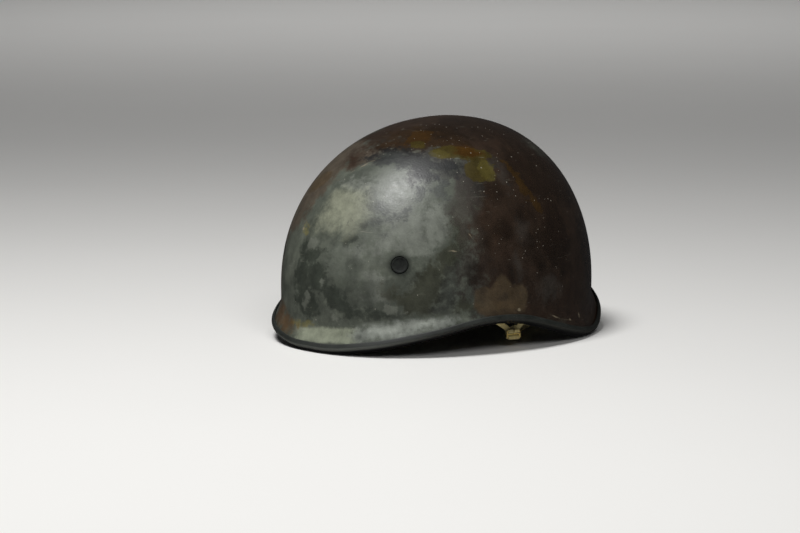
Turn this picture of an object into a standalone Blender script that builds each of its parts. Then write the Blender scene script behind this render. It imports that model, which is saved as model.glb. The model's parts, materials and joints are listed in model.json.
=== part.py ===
"""Combat helmet: a moulded laminate shell, a rubber-bound rim and a khaki chin strap.

Metres, +Z up. The helmet stands by itself on a surface at z = 0, with its front
towards -Y, its nape towards +Y and the wearer's right at -X. Angles go round from
the nape: 0 is the nape, 90 the side and 180 the front, the same on both sides.
"""
import math
from collections.abc import Sequence
from typing import NamedTuple

import bmesh
import bpy
from mathutils import Matrix, Vector


class Around(NamedTuple):
    """A size that blends smoothly from the nape over the side to the front."""

    nape: float
    side: float
    front: float

    def at(self, angle: float) -> float:
        """Return the size at an angle round from the nape."""
        end = self.nape if math.cos(angle) > 0.0 else self.front
        return self.side + (end - self.side) * math.cos(angle) ** 2


class RimPoint(NamedTuple):
    """How high the bare lip of the shell stands above the surface at one angle."""

    degrees: float
    height: float


class Blend(NamedTuple):
    """A stop on a strap's way: how far along it is, its centre height and its twist."""

    share: float
    height: float
    twist: float


# Shell, measured over its outer face
NAPE_REACH = 0.1500       # widest section to the nape, without the flare
FRONT_REACH = 0.1270      # widest section to the front, without the flare
SIDE_REACH = 0.1173       # middle to the side, without the flare
PLAN_POWER = 2.1          # superellipse power of the plan
CROWN_POWER = Around(nape=2.15, side=2.2, front=2.0)   # superellipse power of the profile
WALL_FOOT = 0.0414        # where the wall stands upright
CROWN_HEIGHT = 0.1799
CROWN_FORWARD = 0.006     # lean of the crown towards the front
WALL = 0.0070
FLARE = Around(nape=0.0066, side=0.0040, front=0.0080)         # how far the lip stands out
FLARE_HEIGHT = Around(nape=0.020, side=0.015, front=0.020)     # how much wall turns out
FLARE_POWER = 1.8
RIM = (
    RimPoint(degrees=0, height=0.0052),
    RimPoint(degrees=7, height=0.0053),
    RimPoint(degrees=20, height=0.0094),
    RimPoint(degrees=40, height=0.0191),
    RimPoint(degrees=60, height=0.0282),
    RimPoint(degrees=75, height=0.0269),
    RimPoint(degrees=90, height=0.0186),
    RimPoint(degrees=105, height=0.0098),
    RimPoint(degrees=115, height=0.0058),
    RimPoint(degrees=123, height=0.0051),
    RimPoint(degrees=140, height=0.0160),
    RimPoint(degrees=160, height=0.0284),
    RimPoint(degrees=180, height=0.0310),
)

# The bounding box is centred between nape and front
CENTRE_Y = -(NAPE_REACH + FLARE.nape - FRONT_REACH - FLARE.front) / 2.0

# Rubber edging, a U strip pushed over the lip
EDGING_LEG = 0.0017       # thickness of each leg and of the web
EDGING_COVER = 0.0024     # how far the legs reach up the wall
EDGING_CORNER = 0.0016
CLEARANCE = 0.00035       # gap between pieces that touch

# Bolts
BOLT_ANGLES = {"rear": math.radians(29.1), "front": math.radians(151.0)}
BOLT_HEIGHT = 0.0740
BOLT_HEAD_RADIUS = 0.0068
BOLT_HEAD = 0.0018
BOLT_SUNK = 0.0007        # how far the head lies below the shell's face
BOLT_SHANK_RADIUS = 0.0026
BOLT_FLANGE_RADIUS = 0.0060
BOLT_FLANGE = 0.0018
BOLT_DISH = 0.0004

# Webbing
TAPE = 0.0010             # thickness of all webbing
ARM_WIDTH = 0.0042
EYELET_WIDTH = 0.0120
CHIN_WIDTH = 0.0090
EYELET_GAP = 0.0010       # from the curved wall to the flat eyelet
ARM_PULL = 0.035          # how long the arms keep the direction that they start in
ARM_LEAN = {"rear": math.radians(45), "front": math.radians(-60)}  # towards the nape, at the slide
ARM_TWIST = {"rear": 0.0, "front": math.radians(45)}

# Slide: a small ladder of three bars, hanging just inside the arch
SLIDE_CENTRE = Vector((-0.1015, 0.0134, 0.0106))
SLIDE_HEADING = math.radians(62.0)
SLIDE_ROLL = math.radians(3.0)
SLIDE_WIDTH = 0.0116
SLIDE_SIDE = 0.0010
SLIDE_BAR = 0.0009
SLIDE_DEPTH = 0.0016
SLIDE_SLOT = TAPE + 2.0 * CLEARANCE

# Chin strap, standing on its edge from slide to slide with a buckle in its middle
CHIN_LENGTH = 0.320       # from slide to slide, over the buckle
CHIN_FRONT = Vector((0.0, -0.0995, 0.0068))
CHIN_RUN = (
    Blend(share=0.00, height=0.0063, twist=0.0),
    Blend(share=0.30, height=0.0057, twist=math.radians(90)),
    Blend(share=1.00, height=0.0068, twist=math.radians(90)),
)
BUCKLE_LENGTH = 0.0200
BUCKLE_WALL = 0.0013

STATIONS = 60             # sections round the helmet
SIDES = {"right": 1.0, "left": -1.0}


# Shape of the shell


def smooth(points: Sequence[tuple[float, float]], place: float) -> float:
    """Return the value at a place on the smooth curve through points.

    Args:
        points: Pairs of place and value, in rising order. The curve is level at both ends.
        place: Where to read the curve, between the first place and the last.
    """
    places = [point[0] for point in points]
    values = [point[1] for point in points]
    rises = [
        (values[i + 1] - values[i]) / (places[i + 1] - places[i]) for i in range(len(points) - 1)
    ]
    slopes = [0.0]
    for i in range(1, len(points) - 1):
        before = places[i] - places[i - 1]
        after = places[i + 1] - places[i]
        slopes.append((rises[i - 1] * after + rises[i] * before) / (before + after))
    slopes.append(0.0)
    i = max(k for k in range(len(points) - 1) if places[k] <= place or k == 0)
    span = places[i + 1] - places[i]
    t = (place - places[i]) / span
    return (
        values[i] * (1 + 2 * t) * (1 - t) ** 2
        + values[i + 1] * t * t * (3 - 2 * t)
        + span * slopes[i] * t * (1 - t) ** 2
        - span * slopes[i + 1] * t * t * (1 - t)
    )


def lip_height(angle: float) -> float:
    """Return how high the shell's lip stands at an angle round from the nape."""
    turned = (math.degrees(angle) + 180.0) % 360.0 - 180.0
    return smooth(RIM, abs(turned))


def wall_point(angle: float, height: float) -> Vector:
    """Return the point of the shell's outer face at an angle and a height."""
    reach = NAPE_REACH if math.cos(angle) > 0.0 else FRONT_REACH
    sideways = abs(math.sin(angle) / SIDE_REACH) ** PLAN_POWER
    lengthways = abs(math.cos(angle) / reach) ** PLAN_POWER
    radius = (sideways + lengthways) ** (-1.0 / PLAN_POWER)
    climb = (height - WALL_FOOT) / (CROWN_HEIGHT - WALL_FOOT)
    climb = min(max(climb, 0.0), 1.0)
    power = CROWN_POWER.at(angle)
    radius *= (1.0 - climb**power) ** (1.0 / power)
    turned_out = (lip_height(angle) - height) / FLARE_HEIGHT.at(angle) + 1.0
    radius += FLARE.at(angle) * max(turned_out, 0.0) ** FLARE_POWER
    return Vector((
        -math.sin(angle) * radius,
        CENTRE_Y + math.cos(angle) * radius - CROWN_FORWARD * climb**2,
        height,
    ))


def wall_frame(angle: float, height: float) -> tuple[Vector, Vector, Vector]:
    """Return a point of the outer face, the outward normal and the way down the wall."""
    turn, drop = 0.001, 0.0001
    around = wall_point(angle + turn, height) - wall_point(angle - turn, height)
    down = wall_point(angle, height - drop) - wall_point(angle, height + drop)
    return wall_point(angle, height), down.cross(around).normalized(), down.normalized()


def station_angles() -> list[float]:
    """Return the angles of the sections round the helmet."""
    return [math.tau * i / STATIONS for i in range(STATIONS)]


# Making objects


def loft(
    rings: Sequence[Sequence[Vector]],
    wrapped: bool = False,
    capped: bool = False,
    pole: Vector | None = None,
) -> bpy.types.Mesh:
    """Join closed rings of points into one mesh.

    Args:
        rings: Rings with the same number of points each.
        wrapped: Whether the last ring joins the first.
        capped: Whether a face closes the first ring and the last.
        pole: A point that closes the last ring as a fan.
    """
    shape = bmesh.new()
    rows = [[shape.verts.new(point) for point in ring] for ring in rings]
    pairs = list(zip(rows, rows[1:]))
    if wrapped:
        pairs.append((rows[-1], rows[0]))
    count = len(rows[0])
    for lower, upper in pairs:
        for i in range(count):
            k = (i + 1) % count
            quad = (lower[i], lower[k], upper[k], upper[i])
            if i >= count // 2:
                # opposite faces are split along parallel lines, which keeps a thin wall even
                quad = quad[1:] + quad[:1]
            shape.faces.new(quad)
    if capped:
        shape.faces.new(rows[0])
        shape.faces.new(rows[-1])
    if pole is not None:
        tip = shape.verts.new(pole)
        for i in range(count):
            shape.faces.new((rows[-1][i], rows[-1][(i + 1) % count], tip))
    bmesh.ops.recalc_face_normals(shape, faces=shape.faces)
    mesh = bpy.data.meshes.new("loft")
    shape.to_mesh(mesh)
    shape.free()
    return mesh


def box_mesh(size: Vector) -> bpy.types.Mesh:
    """Return a box centred on its origin."""
    shape = bmesh.new()
    bmesh.ops.create_cube(shape, size=1.0, matrix=Matrix.Diagonal(size.to_4d()))
    mesh = bpy.data.meshes.new("box")
    shape.to_mesh(mesh)
    shape.free()
    return mesh


def cylinder_mesh(radius: float, length: float) -> bpy.types.Mesh:
    """Return a cylinder along Z, centred on its origin."""
    shape = bmesh.new()
    bmesh.ops.create_cone(
        shape, cap_ends=True, segments=16, radius1=radius, radius2=radius, depth=length
    )
    mesh = bpy.data.meshes.new("cylinder")
    shape.to_mesh(mesh)
    shape.free()
    return mesh


def modify(target: bpy.types.Object, kind: str, **settings: object) -> None:
    """Add a modifier to an object and set its values."""
    modifier = target.modifiers.new(kind.title(), kind)
    for name, value in settings.items():
        setattr(modifier, name, value)


class Finish(NamedTuple):
    """How a kind of material looks: sRGB colour, roughness and metallic value."""

    colour: tuple[float, float, float]
    roughness: float
    metallic: float


FINISHES = {
    "painted_laminate": Finish((0.24, 0.25, 0.21), 0.45, 0.0),
    "black_rubber": Finish((0.13, 0.14, 0.13), 0.55, 0.0),
    "blackened_steel": Finish((0.12, 0.13, 0.12), 0.45, 0.6),
    "khaki_webbing": Finish((0.62, 0.57, 0.38), 0.90, 0.0),
    "brass": Finish((0.70, 0.58, 0.34), 0.40, 1.0),
    "black_plastic": Finish((0.08, 0.08, 0.08), 0.50, 0.0),
}


def linear(value: float) -> float:
    """Return the linear value of an sRGB channel."""
    return value / 12.92 if value <= 0.04045 else ((value + 0.055) / 1.055) ** 2.4


def material(name: str) -> bpy.types.Material:
    """Return the named material, made on first use."""
    made = bpy.data.materials.get(name)
    if made is None:
        finish = FINISHES[name]
        made = bpy.data.materials.new(name)
        made.use_nodes = True
        shader = made.node_tree.nodes["Principled BSDF"]
        shader.inputs["Base Color"].default_value = (*map(linear, finish.colour), 1.0)
        shader.inputs["Roughness"].default_value = finish.roughness
        shader.inputs["Metallic"].default_value = finish.metallic
    return made


class Workshop:
    """Holds the helmet's collection and the cutters' collection, and adds to them."""

    def __init__(self) -> None:
        self.parts = bpy.data.collections.new("combat_helmet")
        self.cutters = bpy.data.collections.new("cutters")
        for collection in (self.parts, self.cutters):
            bpy.context.scene.collection.children.link(collection)
        self.cutters.hide_render = True

    def part(
        self,
        name: str,
        mesh: bpy.types.Mesh,
        finish: str,
        place: Matrix | None = None,
        rounded: bool = True,
    ) -> bpy.types.Object:
        """Add a piece of the helmet.

        Args:
            name: The piece's name.
            mesh: Its shape, about its own origin.
            finish: The name of its material.
            place: Where it stands, or None for the helmet's own origin.
            rounded: Whether its faces are shaded smoothly.
        """
        mesh.name = name
        mesh.materials.append(material(finish))
        mesh.polygons.foreach_set("use_smooth", [rounded] * len(mesh.polygons))
        piece = bpy.data.objects.new(name, mesh)
        piece.matrix_world = place or Matrix.Identity(4)
        self.parts.objects.link(piece)
        return piece

    def cut(
        self, target: bpy.types.Object, name: str, mesh: bpy.types.Mesh, place: Matrix
    ) -> None:
        """Cut a shape out of a piece."""
        cutter = bpy.data.objects.new(name, mesh)
        cutter.matrix_world = place
        cutter.display_type = "WIRE"
        cutter.hide_render = True
        self.cutters.objects.link(cutter)
        modify(target, "BOOLEAN", operation="DIFFERENCE", object=cutter, solver="EXACT")


# Bolts


def bolt_place(angle: float) -> Matrix:
    """Return the frame on the shell's face with +Z straight out of it."""
    point, outward, down = wall_frame(angle, BOLT_HEIGHT)
    sideways = (-down).cross(outward).normalized()
    upwards = outward.cross(sideways)
    turned = Matrix((sideways, upwards, outward)).transposed().to_4x4()
    return Matrix.Translation(point) @ turned


def bolt_angles() -> dict[str, float]:
    """Return each bolt's name and its signed angle round from the nape."""
    return {
        f"{end}_{side}": sign * angle
        for end, angle in BOLT_ANGLES.items()
        for side, sign in SIDES.items()
    }


def eyelet_depth() -> float:
    """Return how far below the shell's face the middle of the webbing's eyelet lies."""
    return WALL + EYELET_GAP + TAPE / 2.0


def bolt_mesh() -> bpy.types.Mesh:
    """Return the half section of a bolt, from the middle of its head down its outer side."""
    head_back = BOLT_SUNK + BOLT_HEAD
    flange_front = eyelet_depth() + TAPE / 2.0 + CLEARANCE
    flange_back = flange_front + BOLT_FLANGE
    chamfer = 0.0004
    outline = (
        (0.0, -BOLT_SUNK - BOLT_DISH),
        (BOLT_HEAD_RADIUS * 0.6, -BOLT_SUNK - BOLT_DISH),
        (BOLT_HEAD_RADIUS * 0.8, -BOLT_SUNK),
        (BOLT_HEAD_RADIUS - chamfer, -BOLT_SUNK),
        (BOLT_HEAD_RADIUS, -BOLT_SUNK - chamfer),
        (BOLT_HEAD_RADIUS, -head_back),
        (BOLT_SHANK_RADIUS, -head_back),
        (BOLT_SHANK_RADIUS, -flange_front),
        (BOLT_FLANGE_RADIUS, -flange_front),
        (BOLT_FLANGE_RADIUS, -flange_back),
        (0.0, -flange_back),
    )
    shape = bmesh.new()
    corners = [shape.verts.new((radius, 0.0, height)) for radius, height in outline]
    for first, second in zip(corners, corners[1:]):
        shape.edges.new((first, second))
    mesh = bpy.data.meshes.new("bolt")
    shape.to_mesh(mesh)
    shape.free()
    return mesh


def add_bolts(workshop: Workshop) -> None:
    """Turn the four bolts and set them in the shell."""
    for name, angle in bolt_angles().items():
        bolt = workshop.part(f"bolt_{name}", bolt_mesh(), "blackened_steel", bolt_place(angle))
        modify(
            bolt,
            "SCREW",
            axis="Z",
            angle=math.tau,
            steps=16,
            render_steps=16,
            use_merge_vertices=True,
            merge_threshold=0.00001,
            use_smooth_shade=False,
        )


# Shell and edging


def add_shell(workshop: Workshop) -> None:
    """Loft the shell's outer face, give it its wall and let the bolts in."""
    flare_rows, crown_rows = 4, 10
    rings = []
    for row in range(flare_rows):
        share = row / flare_rows
        rings.append([
            wall_point(angle, lip_height(angle) + share * FLARE_HEIGHT.at(angle))
            for angle in station_angles()
        ])
    for row in range(crown_rows):
        climb = math.sin(math.pi / 2.0 * row / crown_rows)
        ring = []
        for angle in station_angles():
            foot = lip_height(angle) + FLARE_HEIGHT.at(angle)
            ring.append(wall_point(angle, foot + climb * (CROWN_HEIGHT - foot)))
        rings.append(ring)
    crown = Vector((0.0, CENTRE_Y - CROWN_FORWARD, CROWN_HEIGHT))
    shell = workshop.part("shell", loft(rings, pole=crown), "painted_laminate")
    modify(shell, "SOLIDIFY", thickness=WALL, offset=-1.0, use_even_offset=True)
    recess = BOLT_SUNK + BOLT_HEAD + CLEARANCE
    above = 0.004
    for name, angle in bolt_angles().items():
        place = bolt_place(angle)
        head = cylinder_mesh(BOLT_HEAD_RADIUS + CLEARANCE, recess + above)
        lift = Matrix.Translation((0.0, 0.0, (above - recess) / 2.0))
        workshop.cut(shell, f"recess_{name}", head, place @ lift)
        shank = cylinder_mesh(BOLT_SHANK_RADIUS + CLEARANCE, 3.0 * WALL)
        workshop.cut(shell, f"hole_{name}", shank, place)


def edging_section(angle: float) -> list[Vector]:
    """Return the U section of the rubber at one angle, pressed flat where it rests."""
    lip = lip_height(angle)
    edge, outward, down = wall_frame(angle, lip)
    outer = CLEARANCE
    inner = -WALL - CLEARANCE
    web = 0.0005

    def beside(rise: float, away: float) -> Vector:
        point, normal, _ = wall_frame(angle, lip + rise)
        return point + normal * away

    def corner(away: float, degrees: float) -> Vector:
        turn = math.radians(degrees)
        depth = web + EDGING_LEG - EDGING_CORNER * (1.0 - math.sin(turn))
        return edge + outward * (away + EDGING_CORNER * math.cos(turn)) + down * depth

    top = EDGING_COVER - EDGING_LEG / 2.0
    outer_corner = outer + EDGING_LEG - EDGING_CORNER
    inner_corner = inner - EDGING_LEG + EDGING_CORNER
    section = [
        beside(EDGING_COVER, outer),
        beside(EDGING_COVER, outer + EDGING_LEG / 2.0),
        beside(top, outer + EDGING_LEG),
        beside(EDGING_COVER / 3.0, outer + EDGING_LEG),
        *(corner(outer_corner, degrees) for degrees in (0, 45, 90)),
        *(corner(inner_corner, degrees) for degrees in (90, 135, 180)),
        beside(EDGING_COVER / 3.0, inner - EDGING_LEG),
        beside(top, inner - EDGING_LEG),
        beside(EDGING_COVER, inner - EDGING_LEG / 2.0),
        beside(EDGING_COVER, inner),
        beside(EDGING_COVER / 3.0, inner),
        edge + outward * inner + down * web,
        edge + outward * outer + down * web,
        beside(EDGING_COVER / 3.0, outer),
    ]
    return [Vector((point.x, point.y, max(point.z, 0.0))) for point in section]


def add_edging(workshop: Workshop) -> None:
    """Sweep the rubber's section once round the rim."""
    sections = [edging_section(angle) for angle in station_angles()]
    workshop.part("rim_edging", loft(sections, wrapped=True), "black_rubber")


# Webbing


class Stop(NamedTuple):
    """A place on a strap: its centre, the direction of its width and its width."""

    centre: Vector
    across: Vector
    width: float


def tape_mesh(stops: Sequence[Stop]) -> bpy.types.Mesh:
    """Return flat webbing that runs through the stops."""
    rings = []
    for i, stop in enumerate(stops):
        before = stops[max(i - 1, 0)].centre
        after = stops[min(i + 1, len(stops) - 1)].centre
        along = (after - before).normalized()
        across = (stop.across - along * stop.across.dot(along)).normalized()
        face = along.cross(across) * TAPE / 2.0
        half = across * stop.width / 2.0
        rings.append([
            stop.centre + half + face,
            stop.centre - half + face,
            stop.centre - half - face,
            stop.centre + half - face,
        ])
    return loft(rings, capped=True)


def hermite(start: Vector, leave: Vector, end: Vector, arrive: Vector, t: float) -> Vector:
    """Return the point at share t of the cubic from start to end."""
    return (
        start * (1 + 2 * t) * (1 - t) ** 2
        + leave * t * (1 - t) ** 2
        + end * t * t * (3 - 2 * t)
        - arrive * t * t * (1 - t)
    )


def mirrored(vector: Vector, sign: float) -> Vector:
    """Return a vector of the right side, or its twin on the left where sign is -1."""
    return Vector((vector.x * sign, vector.y, vector.z))


def mirror() -> Matrix:
    """Return the reflection from the wearer's right to the left."""
    return Matrix.Diagonal((-1.0, 1.0, 1.0, 1.0))


def slide_place() -> Matrix:
    """Return the right slide's frame: X towards the nape, Y outwards, Z up."""
    heading = Matrix.Rotation(SLIDE_HEADING, 4, "Z")
    roll = Matrix.Rotation(SLIDE_ROLL, 4, "Y")
    return Matrix.Translation(SLIDE_CENTRE) @ heading @ roll


def bar_pitch() -> float:
    """Return the distance between the middles of two bars of the slide."""
    return SLIDE_BAR + SLIDE_SLOT


def wrap(bar: float, turns: Sequence[float], aside: float) -> list[Vector]:
    """Return places of webbing laid round a bar, in the slide's own frame.

    Args:
        bar: Height of the bar's middle.
        turns: Directions from the bar in degrees, 0 being outwards and 90 up.
        aside: How far towards the nape the webbing lies.
    """
    reach = CLEARANCE + TAPE / 2.0
    places = []
    for turn in turns:
        out, up = math.cos(math.radians(turn)), math.sin(math.radians(turn))
        places.append(Vector((
            aside,
            math.copysign(SLIDE_DEPTH / 2.0, out) + reach * out,
            bar + math.copysign(SLIDE_BAR / 2.0, up) + reach * up,
        )))
    return places


def tucked_end(bar: float, aside: float) -> Vector:
    """Return where webbing that goes round a bar ends, over the bar's middle."""
    return Vector((aside, 0.0, bar + SLIDE_BAR / 2.0 + CLEARANCE + TAPE / 2.0))


def arm_stops(end: str) -> list[Stop]:
    """Return the stops of the right side's rear or front arm, from the slide to its bolt."""
    slide = slide_place()
    sideways = slide.col[0].to_3d()
    room = SLIDE_WIDTH / 2.0 - SLIDE_SIDE - CLEARANCE / 2.0
    aside = (room - ARM_WIDTH / 2.0) * (1.0 if end == "rear" else -1.0)
    loop = [tucked_end(bar_pitch(), aside)]
    loop += wrap(bar_pitch(), (75, 45, 15, -15, -45, -75, -105, -135, -165), aside)
    stops = [Stop(slide @ place, sideways, ARM_WIDTH) for place in loop]

    behind = loop[-1] + Vector((0.0, -0.0005, 1.2 * SLIDE_BAR))
    start = slide @ behind
    bolt = bolt_place(BOLT_ANGLES[end])
    outward = bolt.col[2].to_3d()
    eyelet = bolt @ Vector((0.0, 0.0, -eyelet_depth()))
    chord = start - eyelet
    towards = (chord - outward * chord.dot(outward)).normalized()
    tip = eyelet + towards * EYELET_WIDTH * 0.62
    across = outward.cross(towards)
    if across.dot(sideways) < 0.0:
        across = -across
    lean = ARM_LEAN[end]
    leave = slide.col[2].to_3d() * math.cos(lean) + sideways * math.sin(lean)
    leave -= slide.col[1].to_3d() * 0.40
    leave *= ARM_PULL
    arrive = -(towards * 0.7 + chord.normalized() * 0.3) * ARM_PULL * 2.0
    steps = 10
    for i in range(steps):
        t = i / steps
        centre = hermite(start, leave, tip, arrive, t)
        ahead = hermite(start, leave, tip, arrive, t + 0.01)
        twist = ARM_TWIST[end] * math.sin(math.pi * t**0.5)
        turned = Matrix.Rotation(twist, 3, ahead - centre) @ sideways.lerp(across, t)
        stops.append(Stop(centre, turned, ARM_WIDTH))
    for share, width in ((0.62, 0.38), (0.45, 0.85), (0.25, 1.0), (-0.25, 1.0), (-0.45, 0.8)):
        centre = eyelet + towards * EYELET_WIDTH * share
        stops.append(Stop(centre, across, EYELET_WIDTH * width))
    return stops


def add_arms(workshop: Workshop) -> None:
    """Lay the four arms from the slides up to the bolts."""
    for end in BOLT_ANGLES:
        stops = arm_stops(end)
        for side, sign in SIDES.items():
            twins = [
                Stop(mirrored(stop.centre, sign), mirrored(stop.across, sign), stop.width)
                for stop in stops
            ]
            arm = workshop.part(f"strap_{end}_{side}", tape_mesh(twins), "khaki_webbing")
            hole = cylinder_mesh(BOLT_SHANK_RADIUS + CLEARANCE, 0.006)
            place = bolt_place(BOLT_ANGLES[end] * sign)
            sunk = Matrix.Translation((0.0, 0.0, -eyelet_depth()))
            workshop.cut(arm, f"eyelet_{end}_{side}", hole, place @ sunk)


def add_slides(workshop: Workshop) -> None:
    """Make the two slides, each a plate with two slots between its three bars."""
    height = 2.0 * bar_pitch() + SLIDE_BAR
    flip = mirror()
    for side in SIDES:
        place = slide_place()
        if side == "left":
            place = flip @ place @ flip
        plate = box_mesh(Vector((SLIDE_WIDTH, SLIDE_DEPTH, height)))
        slide = workshop.part(f"slide_{side}", plate, "brass", place, rounded=False)
        for name, up in (("upper", 0.5), ("lower", -0.5)):
            slot = box_mesh(Vector((
                SLIDE_WIDTH - 2.0 * SLIDE_SIDE, 3.0 * SLIDE_DEPTH, SLIDE_SLOT
            )))
            lift = Matrix.Translation((0.0, 0.0, up * bar_pitch()))
            workshop.cut(slide, f"slot_{name}_{side}", slot, place @ lift)


# Chin strap


def chin_start() -> Vector:
    """Return where the chin strap leaves the back of the right slide."""
    below = -bar_pitch() - SLIDE_BAR / 2.0 - CLEARANCE - TAPE / 2.0
    return slide_place() @ Vector((0.0, -SLIDE_DEPTH / 2.0 - TAPE, below))


def chin_bow(bulge: float, t: float) -> Vector:
    """Return the middle of the right half of the strap, level, at share t of its way."""
    start = chin_start().to_2d().to_3d()
    inward = -slide_place().col[1].to_2d().to_3d().normalized()
    end = Vector((-BUCKLE_LENGTH / 2.0 - CLEARANCE, CHIN_FRONT.y, 0.0))
    return hermite(start, inward * bulge, end, Vector((bulge, 0.0, 0.0)), t)


def chin_length(bulge: float) -> float:
    """Return the length from one slide to the other for a given bulge."""
    steps = 60
    points = [chin_bow(bulge, i / steps) for i in range(steps + 1)]
    half = sum((after - before).length for before, after in zip(points, points[1:]))
    return 2.0 * half + BUCKLE_LENGTH


def fitting_bulge() -> float:
    """Return the bulge that gives the strap its real length."""
    low, high = 0.03, 0.5
    for _ in range(30):
        middle = (low + high) / 2.0
        if chin_length(middle) < CHIN_LENGTH:
            low = middle
        else:
            high = middle
    return low


def chin_stops() -> list[Stop]:
    """Return the stops of the right half of the chin strap, from its slide to the buckle."""
    slide = slide_place()
    sideways = slide.col[0].to_3d()
    loop = [tucked_end(-bar_pitch(), 0.0)]
    loop += wrap(-bar_pitch(), (75, 45, 15, -15, -45, -75), 0.0)
    stops = [Stop(slide @ place, sideways, CHIN_WIDTH) for place in loop]
    bulge = fitting_bulge()
    heights = [(stop.share, stop.height) for stop in CHIN_RUN]
    twists = [(stop.share, stop.twist) for stop in CHIN_RUN]
    steps = 20
    for i in range(steps + 1):
        t = i / steps
        level = chin_bow(bulge, t)
        along = (chin_bow(bulge, t + 0.01) - level).normalized()
        twist = smooth(twists, t)
        across = Vector((-along.y, along.x, 0.0)) * math.cos(twist)
        across.z = math.sin(twist)
        stops.append(Stop(level + Vector((0.0, 0.0, smooth(heights, t))), across, CHIN_WIDTH))
    end = Vector((-CLEARANCE / 2.0, CHIN_FRONT.y, CHIN_FRONT.z))
    stops.append(Stop(end, Vector((0.0, 0.0, 1.0)), CHIN_WIDTH))
    return stops


def add_chin_strap(workshop: Workshop) -> None:
    """Lay both halves of the chin strap and close them with the buckle."""
    stops = chin_stops()
    for side, sign in SIDES.items():
        twins = [
            Stop(mirrored(stop.centre, sign), mirrored(stop.across, sign), stop.width)
            for stop in stops
        ]
        workshop.part(f"chin_strap_{side}", tape_mesh(twins), "khaki_webbing")
    passage = Vector((
        2.0 * BUCKLE_LENGTH, TAPE + 2.0 * CLEARANCE, CHIN_WIDTH + 2.0 * CLEARANCE
    ))
    outside = passage + Vector((0.0, 2.0, 2.0)) * BUCKLE_WALL
    outside.x = BUCKLE_LENGTH
    place = Matrix.Translation(CHIN_FRONT)
    buckle = workshop.part("chin_buckle", box_mesh(outside), "black_plastic", place, rounded=False)
    workshop.cut(buckle, "buckle_passage", box_mesh(passage), place)


def clear_scene() -> None:
    """Remove everything that the file starts with."""
    for thing in list(bpy.data.objects):
        bpy.data.objects.remove(thing, do_unlink=True)


def main() -> None:
    """Build the helmet."""
    clear_scene()
    workshop = Workshop()
    add_shell(workshop)
    add_edging(workshop)
    add_bolts(workshop)
    add_slides(workshop)
    add_arms(workshop)
    add_chin_strap(workshop)


if __name__ == "__main__":
    main()
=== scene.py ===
"""Combat helmet: a camouflaged laminate shell, its rubber edging, bolts, slides and chin strap.

Metres, +Z up. The helmet rests on z = 0 with its front towards -Y, its nape towards +Y
and the wearer's right at -X. Angles go round from the nape: 0 is the nape, 90 the
wearer's right side, -90 the left and 180 the front.
"""
import json
import logging
import math
from collections.abc import Callable, Sequence
from dataclasses import dataclass, field
from enum import Enum

import bmesh
import bpy
import numpy as np
from mathutils import Matrix, Vector, noise

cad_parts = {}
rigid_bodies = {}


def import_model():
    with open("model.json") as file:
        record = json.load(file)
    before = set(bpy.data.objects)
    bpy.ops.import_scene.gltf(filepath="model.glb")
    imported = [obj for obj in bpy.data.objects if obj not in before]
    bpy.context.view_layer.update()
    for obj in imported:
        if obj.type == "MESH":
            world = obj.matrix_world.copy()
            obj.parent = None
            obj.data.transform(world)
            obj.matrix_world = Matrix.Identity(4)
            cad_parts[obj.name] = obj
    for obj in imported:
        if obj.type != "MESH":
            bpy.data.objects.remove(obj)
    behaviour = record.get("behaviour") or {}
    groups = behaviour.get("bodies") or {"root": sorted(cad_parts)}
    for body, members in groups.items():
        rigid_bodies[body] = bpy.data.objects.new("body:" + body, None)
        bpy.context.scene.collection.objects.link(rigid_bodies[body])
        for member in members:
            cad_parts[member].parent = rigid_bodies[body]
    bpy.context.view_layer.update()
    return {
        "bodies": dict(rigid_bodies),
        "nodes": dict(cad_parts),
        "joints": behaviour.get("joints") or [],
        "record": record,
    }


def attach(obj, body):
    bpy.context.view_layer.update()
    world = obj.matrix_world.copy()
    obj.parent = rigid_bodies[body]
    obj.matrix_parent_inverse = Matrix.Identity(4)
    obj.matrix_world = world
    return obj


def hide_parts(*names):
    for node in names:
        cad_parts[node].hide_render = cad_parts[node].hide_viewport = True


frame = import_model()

log = logging.getLogger("helmet")

MM = 0.001
BODY = "root"


class Side(Enum):
    """The wearer's two sides."""

    RIGHT = "right"
    LEFT = "left"

    @property
    def sign(self) -> float:
        """Return 1 on the right, where the pieces are laid out, and -1 on the left."""
        return 1.0 if self is Side.RIGHT else -1.0


class End(Enum):
    """The two bolts and strap arms of a side."""

    REAR = "rear"
    FRONT = "front"


class Outline(Enum):
    """The shape of one daub of paint."""

    OVAL = "oval"
    BLOCK = "block"


# Shape of the helmet


@dataclass(frozen=True)
class Around:
    """A size that blends smoothly from the nape over the side to the front."""

    nape: float
    side: float
    front: float

    def at(self, angle: float) -> float:
        """Return the size at an angle round from the nape."""
        end = self.nape if math.cos(angle) > 0.0 else self.front
        return self.side + (end - self.side) * math.cos(angle) ** 2


def smooth(points: Sequence[tuple[float, float]], place: float) -> float:
    """Read a smooth curve through points, level at both ends.

    Args:
        points: Pairs of place and value, in rising order.
        place: Where to read the curve.

    Returns:
        The value of the curve at that place.
    """
    places = [point[0] for point in points]
    values = [point[1] for point in points]
    count = len(points)
    rises = [(values[i + 1] - values[i]) / (places[i + 1] - places[i]) for i in range(count - 1)]
    slopes = [0.0]
    for i in range(1, count - 1):
        before = places[i] - places[i - 1]
        after = places[i + 1] - places[i]
        slopes.append((rises[i - 1] * after + rises[i] * before) / (before + after))
    slopes.append(0.0)
    i = max(k for k in range(count - 1) if places[k] <= place or k == 0)
    span = places[i + 1] - places[i]
    t = (place - places[i]) / span
    return (
        values[i] * (1 + 2 * t) * (1 - t) ** 2
        + values[i + 1] * t * t * (3 - 2 * t)
        + span * slopes[i] * t * (1 - t) ** 2
        - span * slopes[i + 1] * t * t * (1 - t)
    )


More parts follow.
